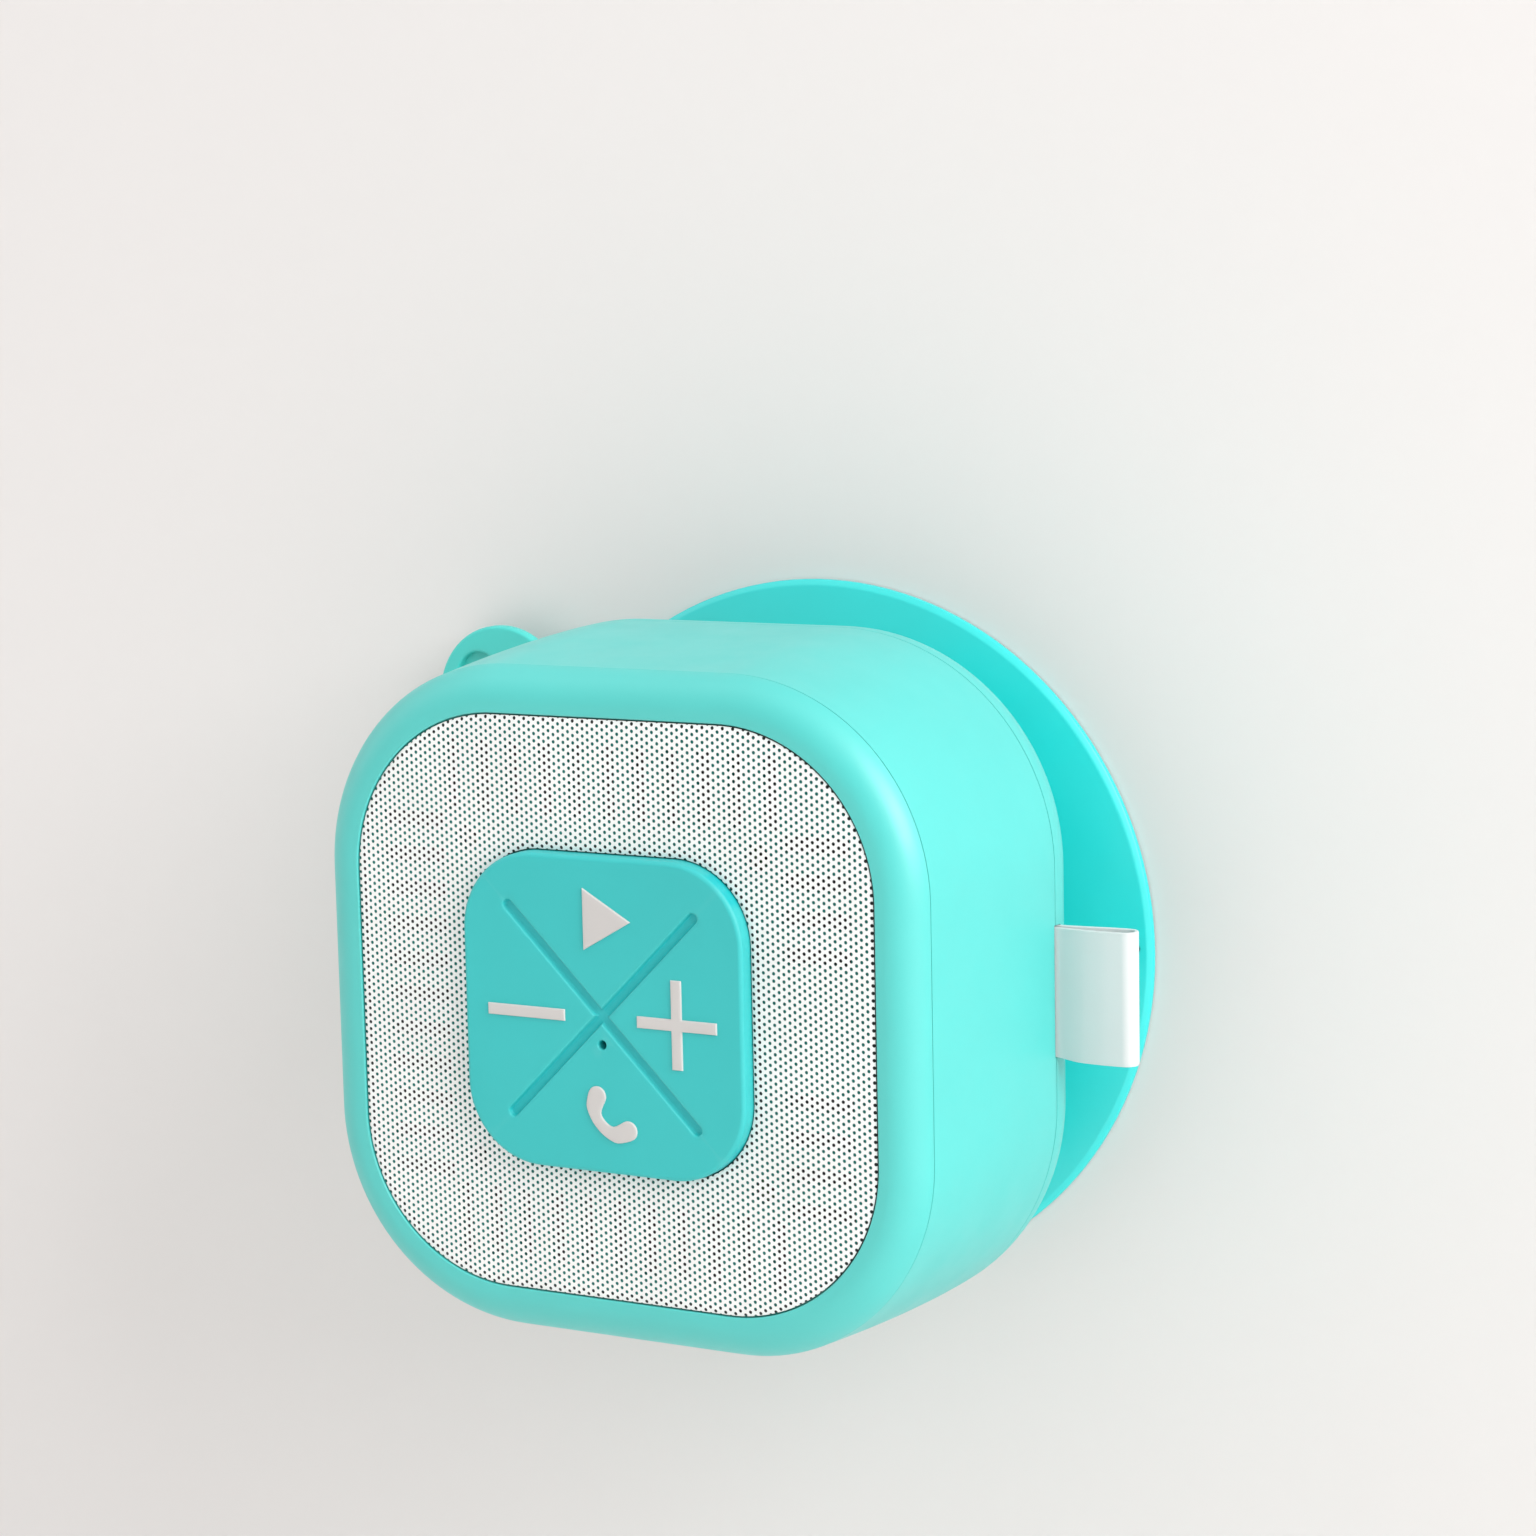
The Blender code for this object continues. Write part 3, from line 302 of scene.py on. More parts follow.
def triangulate(edge, holes=(), rings=(), points=()):
    """Points and triangles inside an edge and outside its holes, through rings and points."""
    verts = []
    edges = []
    faces = []
    for outline in (edge, *holes):
        faces.append(list(range(len(verts), len(verts) + len(outline))))
        verts += outline
    for ring in rings:
        first = len(verts)
        verts += ring
        edges += [(first + step, first + (step + 1) % len(ring)) for step in range(len(ring))]
    verts += points
    flat, _, made, _, _, source = delaunay_2d_cdt([Vector(point) for point in verts], edges,
                                                  faces, 1, 1e-5)
    kept = [tuple(face) for face, origin in zip(made, source) if list(origin) == [0]]
    used = sorted({corner for face in kept for corner in face})
    place = {corner: index for index, corner in enumerate(used)}
    return ([tuple(flat[corner]) for corner in used],
            [tuple(place[corner] for corner in face) for face in kept])


def grid(low, high, spacing, test):
    """Staggered grid points in a box that pass a test."""
    points = []
    rows = int((high[1] - low[1]) / spacing)
    columns = int((high[0] - low[0]) / spacing)
    for row in range(rows + 1):
        for column in range(columns + 1):
            x = low[0] + (column + 0.5 * (row % 2)) * spacing
            up = low[1] + row * spacing
            if test(x, up):
                points.append((x, up))
    return points


def relief_mesh(name, flat, triangles, front, back, frame_matrix=None):
    """A closed body between two height functions over a triangulated face.

    The front face gets its shading normals from shade_from, so that two pieces that meet edge
    to edge shade as one.
    """
    count = len(flat)
    points = [(x, up, front(x, up)) for x, up in flat]
    points += [(x, up, back(x, up)) for x, up in flat]
    faces = list(triangles)
    faces += [(c + count, b + count, a + count) for a, b, c in triangles]
    sides = {pair for a, b, c in triangles for pair in ((a, b), (b, c), (c, a))}
    rim = [(a, b) for a, b in sorted(sides) if (b, a) not in sides]
    faces += [(a, a + count, b + count, b) for a, b in rim]
    mesh = bpy.data.meshes.new(name)
    mesh.from_pydata(points, [], faces)
    mesh.transform(Matrix.Scale(MM, 4) @ (frame_matrix or FACE))
    return mesh


def shade_from(item, flat, triangles, front):
    """Give the front face the exact normals of its height function."""
    turn = FACE.to_3x3()
    step = 0.01
    normals = []
    for x, up in flat:
        across = (front(x + step, up) - front(x - step, up)) / (2 * step)
        above = (front(x, up + step) - front(x, up - step)) / (2 * step)
        normals.append((turn @ Vector((-across, -above, 1)).normalized())[:])
    loops = [(0.0, 0.0, 0.0)] * len(item.data.loops)
    for polygon in item.data.polygons[:len(triangles)]:
        for loop in polygon.loop_indices:
            loops[loop] = normals[item.data.loops[loop].vertex_index]
    item.data.normals_split_custom_set(loops)


def rod_mesh(name, x, up, radius, front, back, steps=32):
    """A plain cylinder along the depth, used to cut and join."""
    shape = bmesh.new()
    bmesh.ops.create_cone(shape, cap_ends=True, segments=steps, radius1=radius,
                          radius2=radius, depth=back - front)
    bmesh.ops.translate(shape, verts=shape.verts, vec=(x, up, -(front + back) / 2))
    return mesh_from_bmesh(name, shape)


def block_mesh(name, low, high, corner):
    """A block with rounded vertical edges, from two corners (x, up, depth)."""
    half_x, half_up = (high[0] - low[0]) / 2, (high[1] - low[1]) / 2
    outline = rounded_box(half_x, half_up, corner, 4, (high[0] + low[0]) / 2,
                          (high[1] + low[1]) / 2)
    shape = bmesh.new()
    skin(shape, [[shape.verts.new((x, up, -depth)) for x, up in outline]
                 for depth in (low[2], high[2])])
    return mesh_from_bmesh(name, shape)


def carve(mesh, operation, tools):
    """Cut bodies from a mesh or join bodies to it, one after the other."""
    item = bpy.data.objects.new("carving", mesh)
    bpy.context.scene.collection.objects.link(item)
    helpers = []
    for tool in tools:
        helper = bpy.data.objects.new("carving_tool", tool)
        bpy.context.scene.collection.objects.link(helper)
        helpers.append(helper)
        modifier = item.modifiers.new("carve", "BOOLEAN")
        modifier.operation = operation
        modifier.solver = "MANIFOLD"
        modifier.object = helper
    graph = bpy.context.evaluated_depsgraph_get()
    made = bpy.data.meshes.new_from_object(item.evaluated_get(graph))
    made.name = mesh.name
    for spent in (item, *helpers):
        bpy.data.objects.remove(spent)
    return made


# --- Materials -------------------------------------------------------------------------

def add_node(tree, kind, inputs=None, **settings):
    """A shader node; an input is a value or the socket that feeds it."""
    made = tree.nodes.new(kind)
    for key, value in settings.items():
        setattr(made, key, value)
    for key, value in (inputs or {}).items():
        if isinstance(value, bpy.types.NodeSocket):
            tree.links.new(value, made.inputs[key])
        else:
            made.inputs[key].default_value = value
    return made


def noise(tree, where, scale, detail=3.0):
    """A noise texture, scale in features per metre."""
    return add_node(tree, "ShaderNodeTexNoise", {"Vector": where, "Scale": scale,
                                                 "Detail": detail}).outputs["Fac"]


def bands(tree, where, pitch, direction, distortion=0.0):
    """Even bands across one axis; pitch in millimetres."""
    return add_node(tree, "ShaderNodeTexWave",
                    {"Vector": where, "Scale": math.pi / pitch / MM / 10,
                     "Distortion": distortion},
                    wave_type="BANDS", bands_direction=direction).outputs["Fac"]


def remap(tree, value, low, high, start=0.3, end=0.7):
    """A value mapped from start..end to low..high."""
    return add_node(tree, "ShaderNodeMapRange",
                    {"Value": value, "From Min": start, "From Max": end,
                     "To Min": low, "To Max": high}).outputs["Result"]


def tint(tree, factor, colour, other):
    """A mix of two colours."""
    mix = add_node(tree, "ShaderNodeMix", data_type="RGBA")
    for socket, value in zip([mix.inputs[0], mix.inputs[6], mix.inputs[7]],
                             [factor, colour, other]):
        if isinstance(value, bpy.types.NodeSocket):
            tree.links.new(value, socket)
        else:
            socket.default_value = value if isinstance(value, float) else (*value, 1.0)
    return mix.outputs[2]


def raise_normal(tree, shader, height, strength, distance):
    """Bump the surface by a height; distance in millimetres."""
    bump = add_node(tree, "ShaderNodeBump", {"Height": height, "Strength": strength,
                                             "Distance": distance * MM})
    tree.links.new(bump.outputs["Normal"], shader.inputs["Normal"])


def new_material(name, roughness, metallic=0.0):
    """A material, its node tree, shader and object coordinates."""
    material = bpy.data.materials.new(name)
    material.use_nodes = True
    tree = material.node_tree
    shader = tree.nodes["Principled BSDF"]
    shader.inputs["Roughness"].default_value = roughness
    shader.inputs["Metallic"].default_value = metallic
    where = add_node(tree, "ShaderNodeTexCoord").outputs["Object"]
    return material, tree, shader, where


def moulded(name, colour, roughness=0.45, grain=3200, depth=0.012, wear=0.06, sheen=0.0,
            specular=0.5, deep=None):
    """Moulded plastic or rubber: fine spark grain, slow colour drift and paler worn edges.

    deep is a painted shade for what lies below the face: a colour, with the two values of y it
    sets in at and the two distances from the middle it ends between.
    """
    material, tree, shader, where = new_material(name, roughness)
    darker = [channel * 0.95 for channel in colour]
    base = tint(tree, remap(tree, noise(tree, where, 45), 0.0, 1.0), colour, darker)
    # Painted shade: below the face the colour turns towards the darker colour in deep
    if deep:
        place = add_node(tree, "ShaderNodeSeparateXYZ", {0: where}).outputs
        share = remap(tree, place["Y"], 0.0, 1.0, *deep[1])
        for axis in "XZ":
            side = add_node(tree, "ShaderNodeMath", {0: place[axis]}, operation="ABSOLUTE")
            share = add_node(tree, "ShaderNodeMath", {
                0: share, 1: remap(tree, side.outputs[0], 1.0, 0.0, *deep[2])},
                operation="MULTIPLY").outputs[0]
        base = tint(tree, share, base, deep[0])
    worn = [channel + (1 - channel) * 0.35 for channel in colour]
    edges = add_node(tree, "ShaderNodeNewGeometry").outputs["Pointiness"]
    worn_share = remap(tree, edges, 0.0, wear, 0.52, 0.60)
    base = tint(tree, worn_share, base, worn)
    tree.links.new(base, shader.inputs["Base Color"])
    rough = remap(tree, noise(tree, where, 160), roughness - 0.04, roughness + 0.04)
    tree.links.new(rough, shader.inputs["Roughness"])
    raise_normal(tree, shader, noise(tree, where, grain, 2.0), 0.35, depth)
    shader.inputs["Specular IOR Level"].default_value = specular
    shader.inputs["Sheen Weight"].default_value = sheen
    return material


def powder_coat(name, colour):
    """Painted sheet metal: a slight orange peel and a satin sheen."""
    material, tree, shader, where = new_material(name, 0.5)
    greyer = [channel * 0.94 for channel in colour]
    base = tint(tree, remap(tree, noise(tree, where, 90), 0.0, 1.0), colour, greyer)
    tree.links.new(base, shader.inputs["Base Color"])
    raise_normal(tree, shader, noise(tree, where, 1500, 2.0), 0.3, 0.01)
    tree.links.new(remap(tree, noise(tree, where, 400), 0.45, 0.56), shader.inputs["Roughness"])
    return material


def woven(name, colour, pitch):
    """Fine plain-woven cloth."""
    material, tree, shader, where = new_material(name, 0.9)
    waves = [bands(tree, where, pitch, direction, 0.3) for direction in "XZ"]
    weave = add_node(tree, "ShaderNodeMath", {0: waves[0], 1: waves[1]}, operation="MAXIMUM")
    lighter = [channel + 0.05 for channel in colour]
    base = tint(tree, weave.outputs[0], colour, lighter)
    tree.links.new(base, shader.inputs["Base Color"])
    raise_normal(tree, shader, weave.outputs[0], 0.8, 0.05)
    shader.inputs["Sheen Weight"].default_value = 0.2
    return material


def streaked(name, colour, roughness, metallic, stretch, scale=900):
    """A surface with fine streaks: drawn metal, wound wire or pressed paper."""
    material, tree, shader, where = new_material(name, roughness, metallic)
    mapped = add_node(tree, "ShaderNodeMapping", {"Vector": where, "Scale": stretch})
    lines = noise(tree, mapped.outputs["Vector"], scale, 4.0)
    darker = [channel * 0.88 for channel in colour]
    tree.links.new(tint(tree, remap(tree, lines, 0.0, 1.0), colour, darker),
                   shader.inputs["Base Color"])
    tree.links.new(remap(tree, lines, roughness - 0.06, roughness + 0.08),
                   shader.inputs["Roughness"])
    raise_normal(tree, shader, lines, 0.5, 0.01)
    return material


def banded(name, colour, other, pitch, direction, roughness, metallic=0.0, depth=0.02):
    """Evenly banded finish: coil turns or the conductors of a ribbon."""
    material, tree, shader, where = new_material(name, roughness, metallic)
    fac = bands(tree, where, pitch, direction)
    grime = remap(tree, noise(tree, where, 300), 0.85, 1.0)
    share = add_node(tree, "ShaderNodeMath", {0: fac, 1: grime}, operation="MULTIPLY")
    tree.links.new(tint(tree, share.outputs[0], other, colour), shader.inputs["Base Color"])
    raise_normal(tree, shader, fac, 0.6, depth)
    return material


def circuit_board(name, colour):
    """Solder mask over faint copper tracks."""
    material, tree, shader, where = new_material(name, 0.35)
    mapped = add_node(tree, "ShaderNodeMapping", {"Vector": where, "Scale": (1, 0.02, 1)})
    cells = add_node(tree, "ShaderNodeTexVoronoi",
                     {"Vector": mapped.outputs["Vector"], "Scale": 420}, distance="MANHATTAN",
                     feature="F1")
    tracks = remap(tree, cells.outputs["Distance"], 0.0, 1.0, 0.42, 0.5)
    lighter = [channel * 1.7 for channel in colour]
    tree.links.new(tint(tree, tracks, colour, lighter), shader.inputs["Base Color"])
    raise_normal(tree, shader, tracks, 0.5, 0.03)
    shader.inputs["Coat Weight"].default_value = 0.3
    return material


# Painted shade down in the pad's grooves: colour, depths, and distances it ends between
GROOVE_PAINTED_SHADE = ((0.0, 0.44, 0.46), ((FRONT_Y - 1.6) * MM, (FRONT_Y - 1.35) * MM),
                (17.5 * MM, 17.9 * MM))
FINISH = {
    "teal_body": moulded("teal_body_soft_touch", (0.06, 0.54, 0.505), 0.42, sheen=0.03,
                         specular=0.9),
    "teal_pad": moulded("teal_pad_silicone", (0.03, 0.485, 0.485), 0.5, 4200, 0.008, 0.04,
                        deep=GROOVE_PAINTED_SHADE),
    # Painted light: this rubber, used by the cup and the flap, is brighter and more saturated than
    # the real rubber, standing for teal light bounced between body and cup
    "teal_rubber": moulded("teal_rubber_gloss_painted_bounce", (0.012, 0.66, 0.645), 0.36, 2200, 0.01, 0.02,
                           specular=0.8),
    # Painted light: the tab is the cup's rubber, made lighter and less saturated to make up for the
    # shade of the body over it
    "teal_tab": moulded("teal_tab_rubber_painted_lighter", (0.07, 0.62, 0.57), 0.42, 2200, 0.01, 0.03),
    "teal_baffle": moulded("teal_baffle_gloss", (0.01, 0.37, 0.32), 0.4, 3200, 0.01, 0.02),
    "white_grille": powder_coat("white_grille_paint", (0.86, 0.885, 0.88)),
    "pale_symbol": moulded("pale_symbol_silicone", (0.56, 0.54, 0.53), 0.5, 5000, 0.006, 0.3),
    "white_tag": moulded("white_tag_rubber", (0.645, 0.66, 0.665), 0.6, 2600, 0.015, 0.1, 0.1),
    "black_cloth": woven("black_cloth_weave", (0.012, 0.012, 0.013), 0.35),
    "black_screw": streaked("black_screw_zinc", (0.03, 0.03, 0.03), 0.35, 1.0, (1, 1, 1)),
    "bright_steel": streaked("bright_steel_drawn", (0.62, 0.62, 0.60), 0.3, 1.0, (1, 0.08, 1)),
    "copper": banded("copper_winding", (0.80, 0.42, 0.25), (0.35, 0.14, 0.07), 0.12, "Y", 0.3,
                     1.0, 0.03),
    "ferrite": streaked("ferrite_sintered", (0.07, 0.07, 0.08), 0.6, 0.0, (1, 1, 1), 1400),
    "paper_cone": streaked("paper_cone_pulp", (0.04, 0.04, 0.05), 0.8, 0.0, (1, 1, 0.3), 1100),
    "black_rubber": moulded("black_rubber_matte", (0.02, 0.02, 0.02), 0.6, 2400, 0.02, 0.1),
    "spider_cloth": woven("spider_cloth_weave", (0.50, 0.34, 0.11), 0.45),
    "green_board": circuit_board("green_board_mask", (0.015, 0.13, 0.05)),
    "black_plastic": moulded("black_plastic_grain", (0.03, 0.03, 0.03), 0.5, 1800, 0.03, 0.12),
    "clear_seal": moulded("clear_seal_silicone", (0.60, 0.62, 0.62), 0.4, 2000, 0.01, 0.1),
    "battery_sleeve": moulded("battery_sleeve_film", (0.05, 0.16, 0.48), 0.3, 250, 0.03, 0.1),
    "red_wire": moulded("red_wire_sheath", (0.55, 0.03, 0.02), 0.4, 900, 0.01, 0.1),
    "ribbon_film": banded("ribbon_film_tracks", (0.55, 0.28, 0.05), (0.25, 0.11, 0.02), 0.8,
                          "X", 0.35),
}

# --- Casing ----------------------------------------------------------------------------

SEAM_GAP = 0.14
FRONT_EDGE = FRONT_SEAM - SEAM_GAP / 2
MID_FRONT = FRONT_SEAM + SEAM_GAP / 2
MID_BACK = REAR_SEAM - 0.15
COVER_FRONT = MID_BACK + SEAM_GAP
REAR_HALF = reach("rear_cover", 0)
FRONT_CORNER = 25.65
REAR_CORNER = 28.5
FRONT_SCREW = 19.8
REAR_SCREW_X = 31.0
REAR_SCREW_UP = 17.0
BORE_RADIUS = 1.35


def side_section(depth, drop=0.0):
    """Outline of the casing's side between the seams, optionally pulled in by drop."""
    share = min(max((depth - MID_FRONT) / (MID_BACK - MID_FRONT), 0), 1)
    eased = 1 - (1 - share) ** 1.6
    half = BEZEL_HALF + (REAR_HALF - BEZEL_HALF) * eased
    corner = FRONT_CORNER + (REAR_CORNER - FRONT_CORNER) * eased
    return depth, half - drop, corner - drop


def front_section(depth, half):
    """A section of the front stack, a constant offset from the grille's outline."""
    return depth, half, GRILLE_CORNER + half - GRILLE_HALF


def rear_section(depth, half):
    """A section of the back, a constant offset from the rear seam."""
    return depth, half, REAR_CORNER + half - REAR_HALF


def quarter_round(start_half, end_half, start_depth, end_depth, steps, section, sweep=90):
    """Sections along part of an ellipse, from a flat face to a side; 90 ends square to it."""
    across = (end_half - start_half) / math.sin(math.radians(sweep))
    deep = (end_depth - start_depth) / (1 - math.cos(math.radians(sweep)))
    sections = []
    for step in range(steps + 1):
        angle = math.radians(sweep * step / steps)
        half = start_half + across * math.sin(angle)
        depth = start_depth + deep * (1 - math.cos(angle))
        sections.append(section(depth, half))
    return sections


def make_bezel():
    """Front frame: a small lip round the grille, a flat land and a soft outer edge."""
    lip = GRILLE_HALF + 0.2
    land = 36.3
    inner = 38.2
    sections = [front_section(0.55, lip + 0.02), front_section(0.22, lip)]
    sections += quarter_round(lip + 0.2, lip, 0.0, 0.2, 5, front_section)[::-1][1:]
    sections += quarter_round(land, BEZEL_HALF, 0.0, FRONT_EDGE - 0.12, 16, front_section, 68)
    sections += [front_section(FRONT_EDGE - 0.03, BEZEL_HALF - 0.03),
                 front_section(FRONT_EDGE, BEZEL_HALF - 0.12),
                 front_section(FRONT_EDGE, inner), front_section(1.6, inner),
                 front_section(0.55, 37.4)]
    mesh = loft_mesh("bezel", sections, looped=True, steps=32)
    item = even_normals(new_piece("bezel", mesh, "teal_body"))
    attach(item, "housing")
    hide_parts("front_bezel")


def make_sleeve():
    """The body between the seams, with its shelf, bosses, flap recess and port openings."""
    chamber = (38.9, 24.2)
    shelf_front, shelf_back, shelf_hole = 13.3, 15.1, 20.9
    throat, spigot, groove = 36.3, 37.9, 39.4
    lip, lip_back = 40.5, MID_BACK + 2.2
    sections = [side_section(MID_FRONT, 0.12), side_section(MID_FRONT + 0.03, 0.03)]
    steps = 12
    start = MID_FRONT + 0.12
    span = MID_BACK - 0.12 - start
    sections += [side_section(start + span * step / steps) for step in range(steps + 1)]
    sections += [side_section(MID_BACK - 0.03, 0.03), side_section(MID_BACK, 0.12)]
    sections += [rear_section(MID_BACK, lip), rear_section(lip_back, lip), (lip_back, *chamber),
                 (shelf_back, *chamber), (shelf_back, shelf_hole, shelf_hole),
                 (shelf_front, shelf_hole, shelf_hole), front_section(shelf_front, throat),
                 front_section(2.65, throat), front_section(2.65, spigot),
                 front_section(MID_FRONT + 1.25, spigot),
                 front_section(MID_FRONT + 1.25, groove), front_section(MID_FRONT, groove)]
    mesh = loft_mesh("sleeve", sections, looped=True, steps=32)

    bosses = []
    cuts = []
    for side_x, side_z in CORNERS:
        front = side_x * FRONT_SCREW, side_z * FRONT_SCREW
        rear = side_x * REAR_SCREW_X, side_z * REAR_SCREW_UP
        bosses.append(rod_mesh("boss", *front, 2.4, 6.8, 14.2))
        bosses.append(rod_mesh("boss", *rear, 2.6, 14.2, 39.1))
        cuts.append(rod_mesh("bore", *front, BORE_RADIUS, 5, 12.2))
        cuts.append(rod_mesh("bore", *rear, BORE_RADIUS, 29, 41))
    cuts.append(slot_mesh("recess", 0, (25.1 + 33.3) / 2, 13.3, 4.1, 1.6, -45, -40.9))
    cuts.append(slot_mesh("port", -6, 29.4, 4.2, 1.6, 1.55, -42, -38))
    cuts.append(slot_mesh("switch", 8, 29.4, 2.6, 1.2, 0.5, -42, -38))
    cuts.append(block_mesh("ribbon", (-5, -34.9, 12.3), (5, -32.7, 16.1), 0.4))
    cuts.append(tag_notch(41.2))
    mesh = carve(mesh, "UNION", bosses)
    mesh = carve(mesh, "DIFFERENCE", cuts)
    item = even_normals(new_piece("sleeve", mesh, "teal_body"))
    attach(item, "housing")
    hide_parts("mid_housing")


def slot_mesh(name, x, depth, half_x, half_depth, corner, low, high):
    """A rounded block whose axis is vertical, used to cut openings in the underside."""
    outline = rounded_box(half_x, half_depth, corner, 6, x, -depth)
    shape = bmesh.new()
    skin(shape, [[shape.verts.new((across, level, back)) for across, back in outline]
                 for level in (low, high)])
    return mesh_from_bmesh(name, shape)


def tag_notch(inner):
    """The opening that the tag's ends sit in, half in the sleeve and half in the cover."""
    low, high = reach("loop_tag", 2, 0) + 0.2, reach("loop_tag", 2, 1) + 0.1
    return block_mesh("notch", (inner, low, TAG_DEPTH - 0.95), (45, high, TAG_DEPTH + 0.95), 0.3)


def make_cover():
    """The back shell with the swivel's socket, four screw sinks and the notch of the tag."""
    strip, flat, inside = 34.7, 35.0, 40.8
    floor = BACK - 2.3
    socket, socket_floor = 11.0, 35.6
    wall = socket + 2.2
    sections = [(socket_floor, socket - 0.4, socket - 0.4),
                (socket_floor + 0.4, socket, socket), (BACK - 0.5, socket, socket)]
    for step in range(1, 6):
        angle = math.radians(90 * step / 5)
        half = socket + 0.5 * (1 - math.cos(angle))
        sections.append((BACK - 0.5 * (1 - math.sin(angle)), half, half))
    sections += quarter_round(flat, REAR_HALF, BACK, strip, 16, rear_section)
    sections += [rear_section(COVER_FRONT + 0.12, REAR_HALF),
                 rear_section(COVER_FRONT + 0.03, REAR_HALF - 0.03),
                 rear_section(COVER_FRONT, REAR_HALF - 0.12),
                 rear_section(COVER_FRONT, inside), rear_section(37.4, inside),
                 rear_section(floor, 35.6), (floor, wall, wall),
                 (socket_floor - 2, wall, wall)]
    mesh = loft_mesh("cover", sections, steps=32)
    cuts = []
    for side_x, side_z in CORNERS:
        rear = side_x * REAR_SCREW_X, side_z * REAR_SCREW_UP
        cuts.append(rod_mesh("hole", *rear, BORE_RADIUS, 38, 43))
        cuts.append(rod_mesh("sink", *rear, 2.6, 40.6, 43))
    cuts.append(tag_notch(40.2))
    mesh = carve(mesh, "DIFFERENCE", cuts)
    item = even_normals(new_piece("cover", mesh, "teal_body"))
    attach(item, "housing")
    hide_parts("rear_cover")


# --- Grille ----------------------------------------------------------------------------

HOLE_COLUMNS = 0.672
HOLE_PITCH = 0.870
HOLE_RADIUS = 0.23
HOLE_SIDES = 8
OPENING_HALF = 19.25
OPENING_CORNER = 9.99
GRILLE_THICKNESS = 0.08
GRILLE_SINK = 0.1


def grille_rise(x, up):
    """The sheet's face, rolled back a little along both of its borders."""
    outer = -square_distance(x, up, GRILLE_HALF, GRILLE_CORNER)
    inner = square_distance(x, up, OPENING_HALF, OPENING_CORNER)
    border = max(min(outer, inner), 0)
    return -GRILLE_SINK - 0.12 * max(1 - border / 0.7, 0) ** 2


def make_grille():
    """The perforated sheet, with staggered round holes that run out at its borders."""
    holes = []
    columns = int(GRILLE_HALF / HOLE_COLUMNS) + 1
    rows = int(GRILLE_HALF / HOLE_PITCH) + 1
    for column in range(-columns, columns + 1):
        for row in range(-rows, rows + 1):
            x = column * HOLE_COLUMNS
            up = (row + 0.5 * (column % 2)) * HOLE_PITCH
            if square_distance(x, up, GRILLE_HALF, GRILLE_CORNER) > HOLE_RADIUS:
                continue
            if square_distance(x, up, OPENING_HALF, OPENING_CORNER) < -HOLE_RADIUS:
                continue
            holes.append(circle(HOLE_RADIUS, HOLE_SIDES, x, up, 180 / HOLE_SIDES))
    opening = rounded_square(OPENING_HALF, OPENING_CORNER)
    edge = rounded_square(GRILLE_HALF, GRILLE_CORNER, 36)
    flat, triangles = triangulate(edge, [opening, *holes])
    mesh = relief_mesh("grille_sheet", flat, triangles, grille_rise,
                       lambda x, up: grille_rise(x, up) - GRILLE_THICKNESS)
    item = new_piece("grille_sheet", mesh, "white_grille")
    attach(item, "housing")
    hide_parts("grille")
    # Painted shade: black bands behind the grille's two borders darken the holes along them,
    # standing for the shade in the gaps there
    borders = {"outer": (34.5, 35.1, GRILLE_CORNER - GRILLE_HALF),
               "inner": (OPENING_HALF + 0.05, 19.95, OPENING_CORNER - OPENING_HALF)}
    for label, (inner, outer, offset) in borders.items():
        sections = [(0.6, inner, inner + offset), (0.6, outer, outer + offset),
                    (0.84, outer, outer + offset), (0.84, inner, inner + offset)]
        name = f"shade_band_{label}"
        item = new_piece(name, loft_mesh(name, sections, looped=True), "black_rubber")
        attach(item, "housing")


# --- Button pad ------------------------------------------------------------------------

PAD_HALF = 19.08
PAD_CORNER = 9.83
PAD_RISE = 1.85
PAD_EDGE = 0.6
PAD_BACK = -2.5
GROOVE_REACH = 12.6
GROOVE = ((0, -0.55), (0.36, -0.55), (0.48, -0.52), (0.57, -0.42), (0.62, -0.25),
          (0.66, -0.1), (0.74, -0.03), (0.86, 0))
MIC_UP = -3.45
MIC_RADIUS = 0.55
MIC_EDGE = 0.2
BEND_START = 13.3
BEND_END = 10.6
QUARTERS = (("play", 0), ("volume_down", 1), ("call", 2), ("volume_up", 3))


def groove_distance(x, up):
    """Distance from the middle line of the nearer of the two crossed grooves."""
    best = 1e9
    for side in (1, -1):
        along = abs(x + side * up) / ROOT_TWO
        across = abs(x - side * up) / ROOT_TWO
        best = min(best, math.hypot(max(along - GROOVE_REACH * ROOT_TWO, 0), across))
    return best


def pad_rise(x, up):
    """The pad's face: a rounded edge, the crossed grooves and the eased microphone duct."""
    edge = round_drop(-square_distance(x, up, PAD_HALF, PAD_CORNER), PAD_EDGE)
    duct = round_drop(math.hypot(x, up - MIC_UP) - MIC_RADIUS, MIC_EDGE)
    return PAD_RISE - edge - duct + interpolate(groove_distance(x, up), GROOVE)


def groove_outline(distance, side):
    """A run round one groove at a distance from its middle line."""
    reach_along = GROOVE_REACH * ROOT_TWO
    half = arc(reach_along, 0, distance, -90, 90, 10)
    run = half + [(-x, -up) for x, up in half]
    return [((x - side * up) / ROOT_TWO, (side * x + up) / ROOT_TWO) for x, up in run]


def bend_points(quarter):
    """Where a key's quarter starts to follow the housing and where it follows the key."""
    points = []
    for distance in (BEND_START, BEND_END):
        x, up = turned_outline([(0, distance)], quarter)[0]
        points.append(Matrix.Scale(MM, 4) @ FACE @ Vector((x, up, 0)))
    return points


